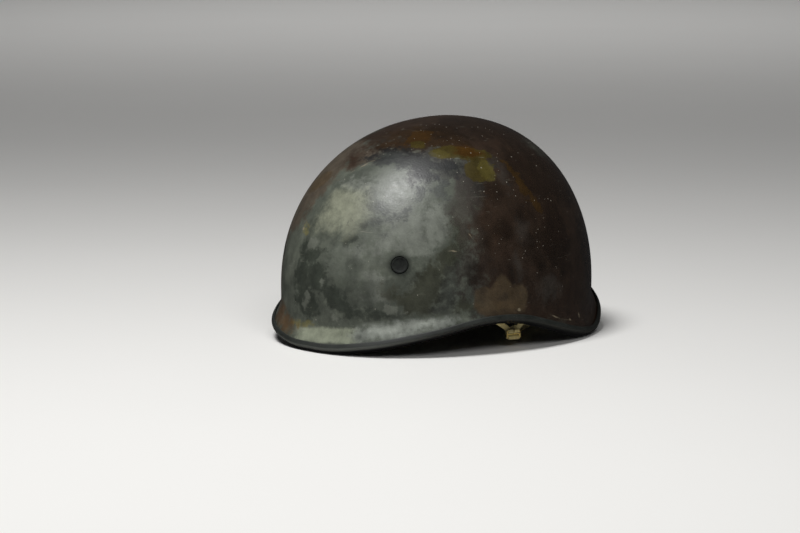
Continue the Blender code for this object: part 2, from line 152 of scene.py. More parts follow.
@dataclass(frozen=True)
class ShellForm:
    """The outer face of the shell as a formula of angle and height."""

    nape_reach: float = 0.1500
    front_reach: float = 0.1270
    side_reach: float = 0.1173
    plan_power: float = 2.1
    crown_power: Around = Around(2.15, 2.2, 2.0)
    wall_foot: float = 0.0414
    crown_height: float = 0.1799
    crown_forward: float = 0.006
    wall: float = 0.0070
    flare: Around = Around(0.0066, 0.0040, 0.0080)
    flare_height: Around = Around(0.020, 0.015, 0.020)
    flare_power: float = 1.8
    centre_y: float = -0.0108
    rim: tuple[tuple[float, float], ...] = (
        (0, 0.0052), (7, 0.0053), (20, 0.0094), (40, 0.0191), (60, 0.0282), (75, 0.0269),
        (90, 0.0186), (105, 0.0098), (115, 0.0058), (123, 0.0051), (140, 0.0160),
        (160, 0.0284), (180, 0.0310),
    )

    def lip_height(self, angle: float) -> float:
        """Return how high the lip stands above the surface at an angle."""
        turned = (math.degrees(angle) + 180.0) % 360.0 - 180.0
        return smooth(self.rim, abs(turned))

    def point(self, angle: float, height: float) -> Vector:
        """Return the point of the outer face at an angle and a height."""
        reach = self.nape_reach if math.cos(angle) > 0.0 else self.front_reach
        sideways = abs(math.sin(angle) / self.side_reach) ** self.plan_power
        lengthways = abs(math.cos(angle) / reach) ** self.plan_power
        radius = (sideways + lengthways) ** (-1.0 / self.plan_power)
        climb = (height - self.wall_foot) / (self.crown_height - self.wall_foot)
        climb = min(max(climb, 0.0), 1.0)
        power = self.crown_power.at(angle)
        radius *= (1.0 - climb**power) ** (1.0 / power)
        turned_out = (self.lip_height(angle) - height) / self.flare_height.at(angle) + 1.0
        radius += self.flare.at(angle) * max(turned_out, 0.0) ** self.flare_power
        return Vector((
            -math.sin(angle) * radius,
            self.centre_y + math.cos(angle) * radius - self.crown_forward * climb**2,
            height,
        ))

    def frame(self, angle: float, height: float) -> Matrix:
        """Return the frame on the outer face: X level, Y up the wall and Z straight out."""
        turn, drop = 0.001, 0.0001
        around = self.point(angle + turn, height) - self.point(angle - turn, height)
        down = self.point(angle, height - drop) - self.point(angle, height + drop)
        outward = down.cross(around).normalized()
        level = (-down).cross(outward).normalized()
        axes = Matrix((level, outward.cross(level), outward)).transposed().to_4x4()
        return Matrix.Translation(self.point(angle, height)) @ axes


# Making meshes and pieces


def bent_grid(columns: int, rows: int, place: Callable[[float, float], Vector]) -> bmesh.types.BMesh:
    """Bend a flat grid into a surface.

    Args:
        columns: Faces across the grid.
        rows: Faces up the grid.
        place: Gives the place of the grid's point from its two shares, each from 0 to 1.

    Returns:
        The surface, with points that fall together merged and its shares as its UV map.
    """
    shape = bmesh.new()
    shape.loops.layers.uv.new("UVMap")
    bmesh.ops.create_grid(shape, x_segments=columns, y_segments=rows, size=0.5, calc_uvs=True)
    for vert in shape.verts:
        vert.co = place(vert.co.x + 0.5, vert.co.y + 0.5)
    bmesh.ops.remove_doubles(shape, verts=shape.verts[:], dist=1e-6)
    return shape


def face_outwards(shape: bmesh.types.BMesh) -> None:
    """Turn the faces of a shape outwards."""
    bmesh.ops.recalc_face_normals(shape, faces=shape.faces[:])


def close_ends(shape: bmesh.types.BMesh) -> None:
    """Close the open ends of a tube and turn its faces outwards."""
    rims = [edge for edge in shape.edges if edge.is_boundary]
    bmesh.ops.holes_fill(shape, edges=rims, sides=0)
    face_outwards(shape)


def bevelled(shape: bmesh.types.BMesh, width: float, edges: Sequence[bmesh.types.BMEdge]) -> None:
    """Round off edges of a shape."""
    bmesh.ops.bevel(
        shape, geom=list(edges), offset=width, offset_type="OFFSET", segments=3, profile=0.5,
        affect="EDGES", material=-1, clamp_overlap=True,
    )


def into_mesh(shape: bmesh.types.BMesh, name: str) -> bpy.types.Mesh:
    """Turn a bmesh into a mesh and free it."""
    mesh = bpy.data.meshes.new(name)
    shape.to_mesh(mesh)
    shape.free()
    return mesh


def temporary(name: str, mesh: bpy.types.Mesh) -> bpy.types.Object:
    """Put a mesh in the scene while it is worked on."""
    thing = bpy.data.objects.new(name, mesh)
    bpy.context.scene.collection.objects.link(thing)
    return thing


def worked(thing: bpy.types.Object) -> bpy.types.Mesh:
    """Apply an object's modifiers and remove the object.

    Returns:
        The mesh as the modifiers leave it.
    """
    bpy.context.view_layer.update()
    evaluated = thing.evaluated_get(bpy.context.evaluated_depsgraph_get())
    mesh = bpy.data.meshes.new_from_object(evaluated)
    mesh.name = thing.name
    bpy.data.objects.remove(thing)
    return mesh


def cut_away(mesh: bpy.types.Mesh, cutters: Sequence[bpy.types.Mesh]) -> bpy.types.Mesh:
    """Cut shapes out of a closed mesh.

    Args:
        mesh: What is cut.
        cutters: Closed meshes that are taken away, in their places.

    Returns:
        The mesh that is left.
    """
    block = temporary(mesh.name, mesh)
    tools = [temporary("cutter", cutter) for cutter in cutters]
    for tool in tools:
        taken = block.modifiers.new("Cut", "BOOLEAN")
        taken.operation = "DIFFERENCE"
        taken.solver = "EXACT"
        taken.object = tool
    left = worked(block)
    for tool in tools:
        bpy.data.objects.remove(tool)
    return left


def cylinder(radius: float, length: float, place: Matrix, segments: int = 64) -> bpy.types.Mesh:
    """Return a cylinder along the Z axis of its place."""
    shape = bmesh.new()
    bmesh.ops.create_cone(
        shape, cap_ends=True, segments=segments, radius1=radius, radius2=radius, depth=length,
        matrix=place,
    )
    return into_mesh(shape, "cylinder")


def hand_over(
    name: str,
    mesh: bpy.types.Mesh,
    finishes: Sequence[bpy.types.Material],
    stands_for: Sequence[str],
    sharp: float = 35.0,
) -> bpy.types.Object:
    """Make a finished piece of the helmet.

    Args:
        name: The piece's name.
        mesh: Its shape, in its place.
        finishes: Its materials, in the order of the mesh's material numbers.
        stands_for: The solids of the frame that it replaces.
        sharp: Edges that turn by more than this many degrees are left sharp.

    Returns:
        The piece, riding on the helmet's body.
    """
    mesh.name = name
    numbers = np.zeros(len(mesh.polygons), dtype=np.int32)
    mesh.polygons.foreach_get("material_index", numbers)
    mesh.materials.clear()
    for finish in finishes:
        mesh.materials.append(finish)
    mesh.polygons.foreach_set("material_index", np.minimum(numbers, len(finishes) - 1))
    mesh.shade_smooth()
    mesh.set_sharp_from_angle(angle=math.radians(sharp))
    piece = temporary(name, mesh)
    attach(piece, BODY)
    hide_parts(*stands_for)
    mesh.calc_loop_triangles()
    log.info("%s: %d triangles", name, len(mesh.loop_triangles))
    return piece


# Finishes


def colour(code: str) -> tuple[float, float, float, float]:
    """Turn an sRGB hex code such as 4a4e45 into a linear colour."""
    channels = [int(code[i:i + 2], 16) / 255.0 for i in (0, 2, 4)]
    linear = [c / 12.92 if c <= 0.04045 else ((c + 0.055) / 1.055) ** 2.4 for c in channels]
    return (*linear, 1.0)


def every(size: float) -> float:
    """Return the scale of a pattern that repeats about every so many millimetres."""
    return 1.0 / (size * MM)


Feed = bpy.types.NodeSocket | float | Sequence[float]


class Recipe:
    """The nodes of one material while they are put together."""

    def __init__(self, name: str, base: str, roughness: float) -> None:
        """Start a material from its plain colour, an sRGB hex code, and its roughness."""
        self.material = bpy.data.materials.new(name)
        self.material.use_nodes = True
        self.material.diffuse_color = colour(base)
        self.tree = self.material.node_tree
        self.shader = self.tree.nodes["Principled BSDF"]
        self.shader.inputs["Base Color"].default_value = colour(base)
        self.shader.inputs["Roughness"].default_value = roughness
        self.where = self.add("TexCoord", output="Object")

    def add(
        self,
        kind: str,
        feeds: dict[str | int, Feed] | None = None,
        output: str | None = None,
        **settings: object,
    ) -> bpy.types.NodeSocket:
        """Add a node.

        Args:
            kind: The node's type, without its ShaderNode.
            feeds: What goes into its sockets, a value or another node's output.
            output: The name of the output that is wanted, or None for the first.
            **settings: The node's own settings.

        Returns:
            The wanted output of the node.
        """
        node = self.tree.nodes.new(f"ShaderNode{kind}")
        for name, value in settings.items():
            setattr(node, name, value)
        shown = [socket for socket in node.inputs if socket.enabled]
        for key, feed in (feeds or {}).items():
            if isinstance(key, int):
                socket = shown[key]
            else:
                socket = next(each for each in shown if each.name == key)
            if isinstance(feed, bpy.types.NodeSocket):
                self.tree.links.new(feed, socket)
            else:
                socket.default_value = feed
        outputs = [socket for socket in node.outputs if socket.enabled]
        return next(each for each in outputs if output is None or each.name == output)

    def lay(self, under: Feed, over: Feed, mask: Feed) -> bpy.types.NodeSocket:
        """Lay one colour over another through a mask."""
        return self.add("Mix", {"Factor": mask, "A": under, "B": over}, data_type="RGBA")

    def tint(
        self,
        under: Feed,
        code: str,
        pattern: bpy.types.NodeSocket,
        span: tuple[float, float],
        cover: tuple[float, float] = (0.0, 1.0),
        ease: str = "LINEAR",
    ) -> bpy.types.NodeSocket:
        """Lay a colour over another where a pattern rises through a span.

        Args:
            under: The colour below.
            code: The colour on top, as an sRGB hex code.
            pattern: What decides where it lies.
            span: The pattern's values between which the cover changes.
            cover: How much the colour on top hides before the span and after it.
            ease: How the cover changes.

        Returns:
            The colour of both.
        """
        share = self.add(
            "MapRange",
            {
                "Value": pattern, "From Min": span[0], "From Max": span[1],
                "To Min": cover[0], "To Max": cover[1],
            },
            interpolation_type=ease,
        )
        return self.lay(under, colour(code), share)

    def finished(
        self,
        tone: bpy.types.NodeSocket,
        relief: Feed | None = None,
        strength: float = 0.0,
        depth: float = 0.0,
        gloss: Feed | None = None,
    ) -> bpy.types.Material:
        """Join the last nodes to the shader.

        Args:
            tone: The colour.
            relief: The height of the surface, as a share of its depth, where it isn't smooth.
            strength: How strongly the relief shows.
            depth: How deep the relief is, in millimetres.
            gloss: The roughness, where it varies.

        Returns:
            The finished material.
        """
        ends = {"Base Color": tone, "Roughness": gloss}
        if relief is not None:
            ends["Normal"] = self.add(
                "Bump", {"Strength": strength, "Distance": depth * MM, "Height": relief}
            )
        for name, source in ends.items():
            if source is not None:
                self.tree.links.new(source, self.shader.inputs[name])
        return self.material


@dataclass(frozen=True)
class Daub:
    """One oval or block of paint on the shell.

    Angle, and the turn of its long side from level, are in degrees, and the height of its
    middle and its half sizes in millimetres.
    """

    angle: float
    height: float
    wide: float
    tall: float
    turn: float = 0.0
    outline: Outline = Outline.OVAL
    deep: float = 45.0

    @property
    def half_sizes(self) -> Vector:
        """Return half of its width, height and depth in metres."""
        return Vector((self.wide, self.tall, self.deep)) * MM

    def place(self, form: ShellForm) -> Matrix:
        """Return the daub's frame, with Z straight out of the shell."""
        on_wall = form.frame(math.radians(self.angle), self.height * MM)
        return on_wall @ Matrix.Rotation(math.radians(self.turn), 4, "Z")


@dataclass(frozen=True)
class Coat:
    """One colour laid on the shell in daubs.

    Soft is half the width of its blurred edge, and ragged how far noise moves that edge, both
    in millimetres, cover how much it hides, gloss what it adds to the roughness, and drift
    how far it is smeared, as a share. A fine coat is drawn in the shader, because its daubs
    are smaller than the faces of the mesh.
    """

    name: str
    colour: str
    daubs: tuple[Daub, ...]
    soft: float = 3.0
    ragged: float = 3.0
    cover: float = 0.85
    gloss: float = 0.0
    drift: float = 1.0
    fine: bool = False

    @property
    def attribute(self) -> str:
        """Return the name of the mesh attribute that holds where the coat lies."""
        return f"coat_{self.name.replace(' ', '_')}"


@dataclass(frozen=True)
class CamouflagePaint:
    """Sprayed alkyd camouflage on a moulded aramid laminate.

    Matt paint that has been rubbed half glossy by years of handling: cloudy fields with
    blurred edges, crisp remains of tape and varnish, hair-thin scratches and dust. Two pale
    bands along the flare are painted highlights, and soft dark rings round the bolts are
    painted shade. Coats drift in lumps, each a size in millimetres and a share of the drift.
    Scratches run several ways, each a turn and a place in the noise, and flecks lie a number
    of millimetres apart, with their size as a share of that.
    """

    form: ShellForm
    name: str = "alkyd_camouflage_paint"
    base: str = "444840"
    roughness: float = 0.42
    drift: float = 8.0 * MM
    drift_seed: int = 2
    lumps: tuple[tuple[float, float], ...] = ((38.46, 1.0), (13.33, 0.5))
    scratch_ways: tuple[tuple[tuple[float, float, float], float], ...] = (
        ((0.5, 0.3, 0.9), 0.0), ((2.1, 1.2, 0.2), 3.0), ((1.2, 2.4, 1.7), 7.0),
    )
    flecks: tuple[tuple[float, float], ...] = ((12.5, 0.06), (5.882, 0.1), (3.03, 0.16))
    coats: tuple[Coat, ...] = (
        Coat("cloud grey", "5e6259", (
            Daub(24, 104, 44, 26, deep=60), Daub(12, 75, 26, 14), Daub(18, 88, 26, 12),
            Daub(26, 132, 30, 24), Daub(-50, 93, 30, 22, 20), Daub(-95, 63, 30, 24),
        ), soft=8, ragged=5, cover=0.75),
        Coat("rubbed grey", "6e7169", (
            Daub(30, 103, 18, 13), Daub(34, 92, 14, 8), Daub(42, 107, 10, 16), Daub(24, 88, 10, 6),
            Daub(15, 83, 8, 6), Daub(20, 62, 10, 5), Daub(36, 98, 10, 10), Daub(7, 131, 13, 7),
            Daub(23, 49, 8, 4),
        ), soft=5, ragged=5, cover=0.7),
        Coat("forest green", "2a2f28", (
            Daub(-3, 76, 15, 7), Daub(-9, 84, 8, 7), Daub(1, 58, 13, 10), Daub(9, 46, 19, 8, -38),
            Daub(-4, 36, 14, 12), Daub(15, 36, 15, 5, -10), Daub(23, 34, 18, 4), Daub(12, 95, 6, 4),
            Daub(-7, 58, 10, 16), Daub(-34, 62, 20, 26), Daub(-62, 131, 34, 20, 10),
            Daub(-82, 85, 26, 30, 20), Daub(-140, 63, 34, 20, -15), Daub(160, 107, 30, 24, 10),
            Daub(-112, 35, 30, 14),
        ), soft=2.5, ragged=3.5, cover=0.78),
        Coat("washed green", "363a33", (
            Daub(14, 72, 8, 10, 20), Daub(15, 58, 12, 6, -20), Daub(6, 93, 14, 5, 12), Daub(38, 66, 10, 7),
            Daub(17, 44, 10, 6), Daub(19, 107, 10, 3, 20),
        ), soft=4, ragged=5, cover=0.5),
        Coat("olive brown", "2e2e20", (
            Daub(35, 44, 15, 13, -10), Daub(27, 52, 9, 6), Daub(40, 61, 5, 5), Daub(41, 56, 12, 12),
            Daub(46, 74, 11, 14), Daub(52, 41, 9, 6, 20), Daub(49, 96, 9, 16), Daub(-38, 37, 24, 16, 10),
            Daub(176, 63, 40, 18), Daub(-120, 113, 30, 22, 30),
        ), soft=4, ragged=4.5, cover=0.7),
        Coat("slate green", "2a2c29", (
            Daub(47, 50, 5, 11), Daub(43, 38, 9, 6), Daub(50, 62, 5, 12), Daub(56, 35, 9, 5),
        ), soft=3, ragged=3.5, cover=0.6),
        Coat("drab", "4b4136", (
            Daub(-22, 138, 27, 44), Daub(-2, 154, 16, 14), Daub(-22, 104, 12, 10), Daub(-30, 70, 14, 40),
        ), soft=5, ragged=5, cover=0.85),
        Coat("earth brown", "291b12", (
            Daub(98, 92, 84, 74, deep=110), Daub(68, 58, 22, 34), Daub(59, 84, 9, 16),
            Daub(70, 138, 26, 22), Daub(60, 179, 66, 66, deep=36), Daub(8, 162, 26, 9, 10),
            Daub(-6, 150, 12, 8, -20), Daub(84, 158, 40, 22), Daub(150, 80, 60, 70, deep=70),
            Daub(120, 26, 50, 34, deep=60), Daub(24, 165, 26, 14), Daub(74, 30, 34, 18),
            Daub(-12, 168, 26, 16), Daub(170, 151, 60, 34, deep=60), Daub(-160, 99, 32, 26, 20),
            Daub(-100, 139, 34, 24, 15), Daub(-64, 47, 26, 14, 10),
        ), soft=7, ragged=3.5, cover=0.93, gloss=-0.08),
        Coat("charcoal", "2e2d2a", (
            Daub(30, 142, 12, 10, -30), Daub(46, 146, 22, 14), Daub(56, 134, 12, 14), Daub(64, 150, 18, 12),
            Daub(6, 166, 12, 6),
        ), soft=4, ragged=6, cover=0.8),
        Coat("lilac grey", "38332e", (
            Daub(52, 122, 11, 28), Daub(51, 98, 9, 20), Daub(53, 68, 7, 14), Daub(58, 62, 6, 30),
            Daub(30, 156, 24, 6), Daub(77, 140, 12, 6, 66), Daub(80, 96, 7, 14, 10), Daub(76, 64, 5, 12),
            Daub(90, 46, 12, 10),
        ), soft=5, ragged=4, cover=0.75),
        Coat("crown brown", "2a1d0f", (
            Daub(26, 170, 34, 16), Daub(40, 162, 34, 9), Daub(10, 162, 18, 9),
        ), soft=5, ragged=6, cover=0.9, gloss=-0.08),
        Coat("worn brown", "352920", (
            Daub(64, 112, 8, 10), Daub(65, 87, 10, 11), Daub(54, 98, 3, 8, -20), Daub(60, 72, 8, 14),
            Daub(84, 66, 7, 20, 10), Daub(72, 82, 5, 9),
        ), soft=3.5, ragged=5, cover=0.6),
        Coat("umber", "17100b", (
            Daub(90, 176, 50, 30, deep=30), Daub(56, 172, 22, 16), Daub(112, 142, 50, 34, deep=70),
            Daub(116, 167, 34, 20), Daub(79, 111, 9, 8, 10), Daub(66, 129, 9, 7), Daub(98, 87, 16, 34, 10),
            Daub(84, 84, 8, 12), Daub(126, 69, 24, 34), Daub(56, 64, 7, 9), Daub(72, 54, 4, 8),
            Daub(69, 98, 10, 10), Daub(88, 70, 5, 12), Daub(60, 88, 5, 8),
        ), soft=6.5, ragged=3.5, cover=0.62, gloss=-0.08),
        Coat("pale khaki", "8c8e7a", (
            Daub(5, 118, 18, 13, 14), Daub(9, 111, 12, 11, 8), Daub(0, 106, 12, 6, 22),
            Daub(6, 103, 9, 4, 10), Daub(-128, 87, 26, 15, -20), Daub(-74, 111, 15, 12, 30),
        ), soft=8, ragged=4, cover=0.66, drift=0.8),
        Coat("pale rubbing", "6c6f65", (
            Daub(-3.5, 85, 6, 4.5, 0, Outline.BLOCK), Daub(-4, 42, 4, 4, 30), Daub(-5, 35, 3, 3),
            Daub(7, 32, 2.5, 4), Daub(27, 38, 8, 3.5, -20), Daub(3, 56, 3, 3), Daub(10, 150, 12, 2.0, 20),
        ), soft=1.5, ragged=2.5, cover=0.55, drift=0.4),
        Coat("slate", "121415", (
            Daub(14, 153, 20, 11, -6), Daub(30, 149, 13, 12, -10), Daub(33, 140, 7, 12, 10),
            Daub(44, 147, 12, 8, -20), Daub(24, 157, 14, 4),
        ), soft=4, ragged=5, cover=0.85),
        Coat("thin slate", "2b2e2e", (
            Daub(17, 118, 12, 6, -18), Daub(19, 107, 12, 3, 10), Daub(28, 106, 9, 2.5, 40),
            Daub(42, 130, 5, 10, 10), Daub(34, 126, 5, 9, -10),
        ), soft=3, ragged=5, cover=0.55),
        Coat("sand", "493d2c", (
            Daub(59, 44, 10, 11, 12), Daub(66.5, 49, 9.5, 13), Daub(74, 43, 9.5, 11, -12),
            Daub(66, 36, 18, 5), Daub(-20, 131, 16, 10, 25), Daub(-146, 131, 20, 14, -20),
            Daub(150, 47, 20, 12, 15),
        ), soft=1.6, ragged=0.9, cover=0.85, drift=0.12),
        Coat("shaded sand", "332b22", (
            Daub(67, 45, 4.5, 3.0, 20), Daub(66, 33.5, 19, 2.6), Daub(58, 52, 4, 3, 30),
        ), soft=1.5, ragged=1.2, cover=0.6, drift=0.1),
        Coat("amber varnish", "34220a", (
            Daub(22, 168, 9, 13, 0, Outline.BLOCK),
        ), soft=1.2, ragged=2.0, cover=0.85, gloss=-0.05, drift=0.3),
        Coat("yellow tape glue", "3b3314", (
            Daub(52, 157, 24, 7.5, 0, Outline.BLOCK), Daub(60, 144, 12, 11, 30), Daub(24, 163, 7, 5),
        ), soft=0.9, ragged=1.4, cover=0.88, gloss=-0.06, drift=0.12),
        Coat("orange tape glue", "3b2409", (
            Daub(54, 158.5, 9, 6), Daub(60, 157, 6, 3),
        ), soft=2.5, ragged=2, cover=0.8, gloss=-0.06, drift=0.3),
        Coat("pale glue", "4c4520", (
            Daub(65.5, 144, 7.5, 11), Daub(38, 157, 8, 5.5),
        ), soft=1.4, ragged=1.6, cover=0.8, gloss=-0.05, drift=0.2),
        Coat("ochre run", "36260e", (
            Daub(82, 142, 3, 10, 14), Daub(84, 128, 4.5, 10, 8), Daub(89, 116, 3.4, 8, 10),
        ), soft=1.2, ragged=2.5, cover=0.75, gloss=-0.05, drift=0.3),
        Coat("cream primer", "8d927f", (
            Daub(4, 14.4, 31, 6.2, 5, Outline.BLOCK),
        ), soft=1.8, ragged=0.9, cover=0.85, drift=0.1),
        # Painted highlight: pale bands along the upturned flare, where it faces the light from above.
        Coat("flare sheen", "7d817a", (
            Daub(24, 20, 14, 6.5, 6), Daub(32, 23.5, 15, 5.5, 10), Daub(42, 27, 14, 4, 12),
            Daub(17.5, 16.5, 9, 6, 5), Daub(-168, 43, 30, 5),
        ), soft=3, ragged=2, cover=0.75, drift=0.3),
        Coat("flare highlight", "92968e", (
            Daub(26, 22, 13, 2.8, 8), Daub(37, 26.5, 11, 1.8, 12),
        ), soft=2.2, ragged=1.5, cover=0.8, drift=0.2),
        # Painted shade: soft dark rings round the four bolts stand for the shade of their recesses; the two
        # small daubs by the flare are dark spots.
        Coat("grime", "1f231e", (
            Daub(29.1, 74, 9.2, 9.2), Daub(151, 74, 9.2, 9.2), Daub(-29.1, 74, 9.2, 9.2),
            Daub(-151, 74, 9.2, 9.2), Daub(10.7, 17.1, 1.6, 1.6), Daub(17.1, 15.4, 1.9, 1.9),
        ), soft=3.0, ragged=0.8, cover=0.88, drift=0.0),
        Coat("yellowed primer", "6a6540", (
            Daub(-8, 20, 13, 3, 4), Daub(-10.5, 95, 5, 4, -27),
        ), soft=1.5, ragged=2.5, cover=0.75, drift=0.4),
        Coat("rust stain", "553a1c", (
            Daub(-16, 17, 15, 7, -3), Daub(-24, 22, 14, 9),
        ), soft=4, ragged=3, cover=0.7, drift=0.4),
        Coat("bare scratch", "8c826c", (
            Daub(94.6, 22.4, 3.2, 0.18, -25), Daub(101, 18.9, 3.4, 0.2, -12), Daub(104, 18, 2.2, 1.0),
            Daub(112.5, 18.6, 0.9, 2.2), Daub(47.6, 84, 0.9, 0.12, 2), Daub(53.5, 96, 2.2, 0.25, -50),
            Daub(73.5, 33.5, 1.4, 1.0), Daub(-12, 95, 1.2, 1.2), Daub(2.7, 147, 7, 0.22, 48),
        ), soft=0.5, ragged=0.4, cover=0.65, fine=True),
    )
    dust: Coat = Coat("dust", "b3ada0", (
        Daub(50, 168, 60, 22, deep=80), Daub(70, 130, 26, 40), Daub(14, 158, 34, 14), Daub(92, 90, 24, 40),
        Daub(-150, 110, 60, 60, deep=90),
    ), soft=15)

    def lay_on(self, mesh: bpy.types.Mesh) -> None:
        """Write into the mesh how many millimetres each point lies inside each broad coat."""
        count = len(mesh.vertices)
        places = np.zeros(count * 3)
        mesh.vertices.foreach_get("co", places)
        places = places.reshape(-1, 3)
        # Unseeded, the noise starts from the clock and the coats drift anew in each run.
        noise.seed_set(self.drift_seed)
        drift = self.drift * sum(
            share * np.array([noise.noise_vector(Vector(place) * every(lump)) for place in places])
            for lump, share in self.lumps
        )
        far_out = -99.0
        for coat in (*self.coats, self.dust):
            if coat.fine:
                continue
            reach = np.full(count, far_out)
            for daub in coat.daubs:
                within = self.inside(daub, places + drift * coat.drift)
                reach = self.joined(reach, within, 2.0 + coat.soft)
            layer = mesh.attributes.new(coat.attribute, "FLOAT", "POINT")
            layer.data.foreach_set("value", reach)

    def inside(self, daub: Daub, places: np.ndarray) -> np.ndarray:
        """Return about how many millimetres places lie inside a daub, below 0 outside it."""
        frame = np.array(daub.place(self.form))
        local = (places - frame[:3, 3]) @ frame[:3, :3] / np.array(daub.half_sizes)
        far = (
            np.linalg.norm(local, axis=1) if daub.outline is Outline.OVAL
            else np.abs(local).max(axis=1)
        )
        return (1.0 - far) * min(daub.wide, daub.tall)

    def joined(self, one: np.ndarray, other: np.ndarray, blend: float) -> np.ndarray:
        """Return the larger of two fields, blended where they are nearly equal."""
        near = np.maximum(blend - np.abs(one - other), 0.0) / blend
        return np.maximum(one, other) + near**2 * blend / 4.0

    def drawn(self, recipe: Recipe, coat: Coat, wander: Feed) -> bpy.types.NodeSocket:
        """Return how far each point lies inside the daubs of a fine coat."""
        reach: Feed = -99.0
        for daub in coat.daubs:
            place = daub.place(self.form)
            local = recipe.add(
                "Mapping",
                {
                    "Vector": wander, "Location": place.translation,
                    "Rotation": place.to_euler(), "Scale": daub.half_sizes,
                },
                vector_type="TEXTURE",
            )
            far = recipe.add("VectorMath", {0: local}, "Value", operation="LENGTH")
            thin = min(daub.wide, daub.tall)
            inside = recipe.add("Math", {0: far, 1: -thin, 2: thin}, operation="MULTIPLY_ADD")
            reach = recipe.add("Math", {0: inside, 1: reach}, operation="MAXIMUM")
        return reach

    def make(self) -> bpy.types.Material:
        """Return the paint of the shell's outer face."""
        recipe = Recipe(self.name, self.base, self.roughness)
        where = recipe.where
        shake = recipe.add(
            "TexNoise",
            {"Vector": where, "Scale": every(9.091), "Detail": 2.0, "Roughness": 0.55}, "Color",
        )
        wander = recipe.add(
            "VectorMath", {0: shake, 1: [3.0 * MM] * 3, 2: where}, operation="MULTIPLY_ADD"
        )
        wander = recipe.add("VectorMath", {0: wander, 1: [1.5 * MM] * 3}, operation="SUBTRACT")
        grain = recipe.add(
            "TexNoise", {"Vector": where, "Scale": every(6.667), "Detail": 6.0, "Roughness": 0.66}
        )
        rough = recipe.add(
            "MapRange",
            {"Value": grain, "From Min": 0.35, "From Max": 0.65, "To Min": -1.0, "To Max": 1.0},
            clamp=False,
        )
        cloud = recipe.add(
            "TexNoise",
            {
                "Vector": where, "Scale": every(29.41), "Detail": 7.0, "Roughness": 0.62,
                "Distortion": 0.4,
            },
        )
        paint = recipe.tint(colour(self.base), "585c52", cloud, (0.40, 0.64))
        gloss: Feed = self.roughness
        for coat in self.coats:
            reach = (
                self.drawn(recipe, coat, wander) if coat.fine
                else recipe.add("Attribute", output="Fac", attribute_name=coat.attribute)
            )
            edge = recipe.add("Math", {0: rough, 1: coat.ragged, 2: reach}, operation="MULTIPLY_ADD")
            mask = recipe.add(
                "MapRange",
                {"Value": edge, "From Min": -coat.soft, "From Max": coat.soft, "To Max": coat.cover},
                interpolation_type="SMOOTHSTEP",
            )
            paint = recipe.lay(paint, colour(coat.colour), mask)
            if coat.gloss:
                gloss = recipe.add("Math", {0: mask, 1: coat.gloss, 2: gloss}, operation="MULTIPLY_ADD")
        paint = self.mottled(recipe, paint)
        paint, gloss = self.scratched(recipe, paint, gloss)
        paint = self.dusted(recipe, paint)
        gloss = recipe.add("Math", {0: rough, 1: 0.05, 2: gloss}, operation="MULTIPLY_ADD")
        peel = recipe.add(
            "TexNoise", {"Vector": where, "Scale": every(1.613), "Detail": 3.0, "Roughness": 0.6}
        )
        relief = recipe.add("Math", {0: grain, 1: 0.4, 2: peel}, operation="MULTIPLY_ADD")
        return recipe.finished(paint, relief, 0.6, 0.2, gloss)

    def mottled(self, recipe: Recipe, paint: Feed) -> bpy.types.NodeSocket:
        """Darken and lighten the paint in small clouds and in streaks down the wall."""
        spots = recipe.add(
            "TexNoise",
            {"Vector": recipe.where, "Scale": every(10.53), "Detail": 9.0, "Roughness": 0.7},
        )
        down = recipe.add("Mapping", {"Vector": recipe.where, "Scale": (1.0, 1.0, 0.35)})
        streaks = recipe.add(
            "TexNoise", {"Vector": down, "Scale": every(7.692), "Detail": 4.0, "Roughness": 0.6}
        )
        both = recipe.add("Math", {0: streaks, 1: 0.4, 2: spots}, operation="MULTIPLY_ADD")
        share = recipe.add(
            "MapRange",
            {"Value": both, "From Min": 0.45, "From Max": 0.95, "To Min": 0.66, "To Max": 1.34},
        )
        return recipe.add("VectorMath", {0: paint, 1: share}, operation="MULTIPLY")

    def scratched(
        self, recipe: Recipe, paint: Feed, gloss: Feed
    ) -> tuple[bpy.types.NodeSocket, bpy.types.NodeSocket]:
        """Draw short hair-thin scratches, which show lighter than the paint.

        Returns:
            The colour and the roughness with the scratches.
        """
        hair_size = (every(16.67), every(16.67), every(0.9091))
        for turn, place in self.scratch_ways:
            lines = recipe.add(
                "Mapping", {"Vector": recipe.where, "Rotation": turn, "Scale": hair_size}
            )
            hair = recipe.add(
                "TexNoise", {"Vector": lines, "Scale": 1.0, "Detail": 1.0, "Distortion": 1.2}
            )
            handled = recipe.add(
                "TexNoise",
                {"Vector": recipe.where, "W": place, "Scale": every(29.41), "Detail": 2.0},
                noise_dimensions="4D",
            )
            thin = recipe.add("MapRange", {"Value": hair, "From Min": 0.70, "From Max": 0.78})
            worn = recipe.add(
                "MapRange", {"Value": handled, "From Min": 0.54, "From Max": 0.68, "To Max": 0.4}
            )
            mask = recipe.add("Math", {0: thin, 1: worn}, operation="MULTIPLY")
            paint = recipe.lay(paint, colour("8f8d80"), mask)
            gloss = recipe.add("Math", {0: mask, 1: 0.2, 2: gloss}, operation="MULTIPLY_ADD")
        return paint, gloss

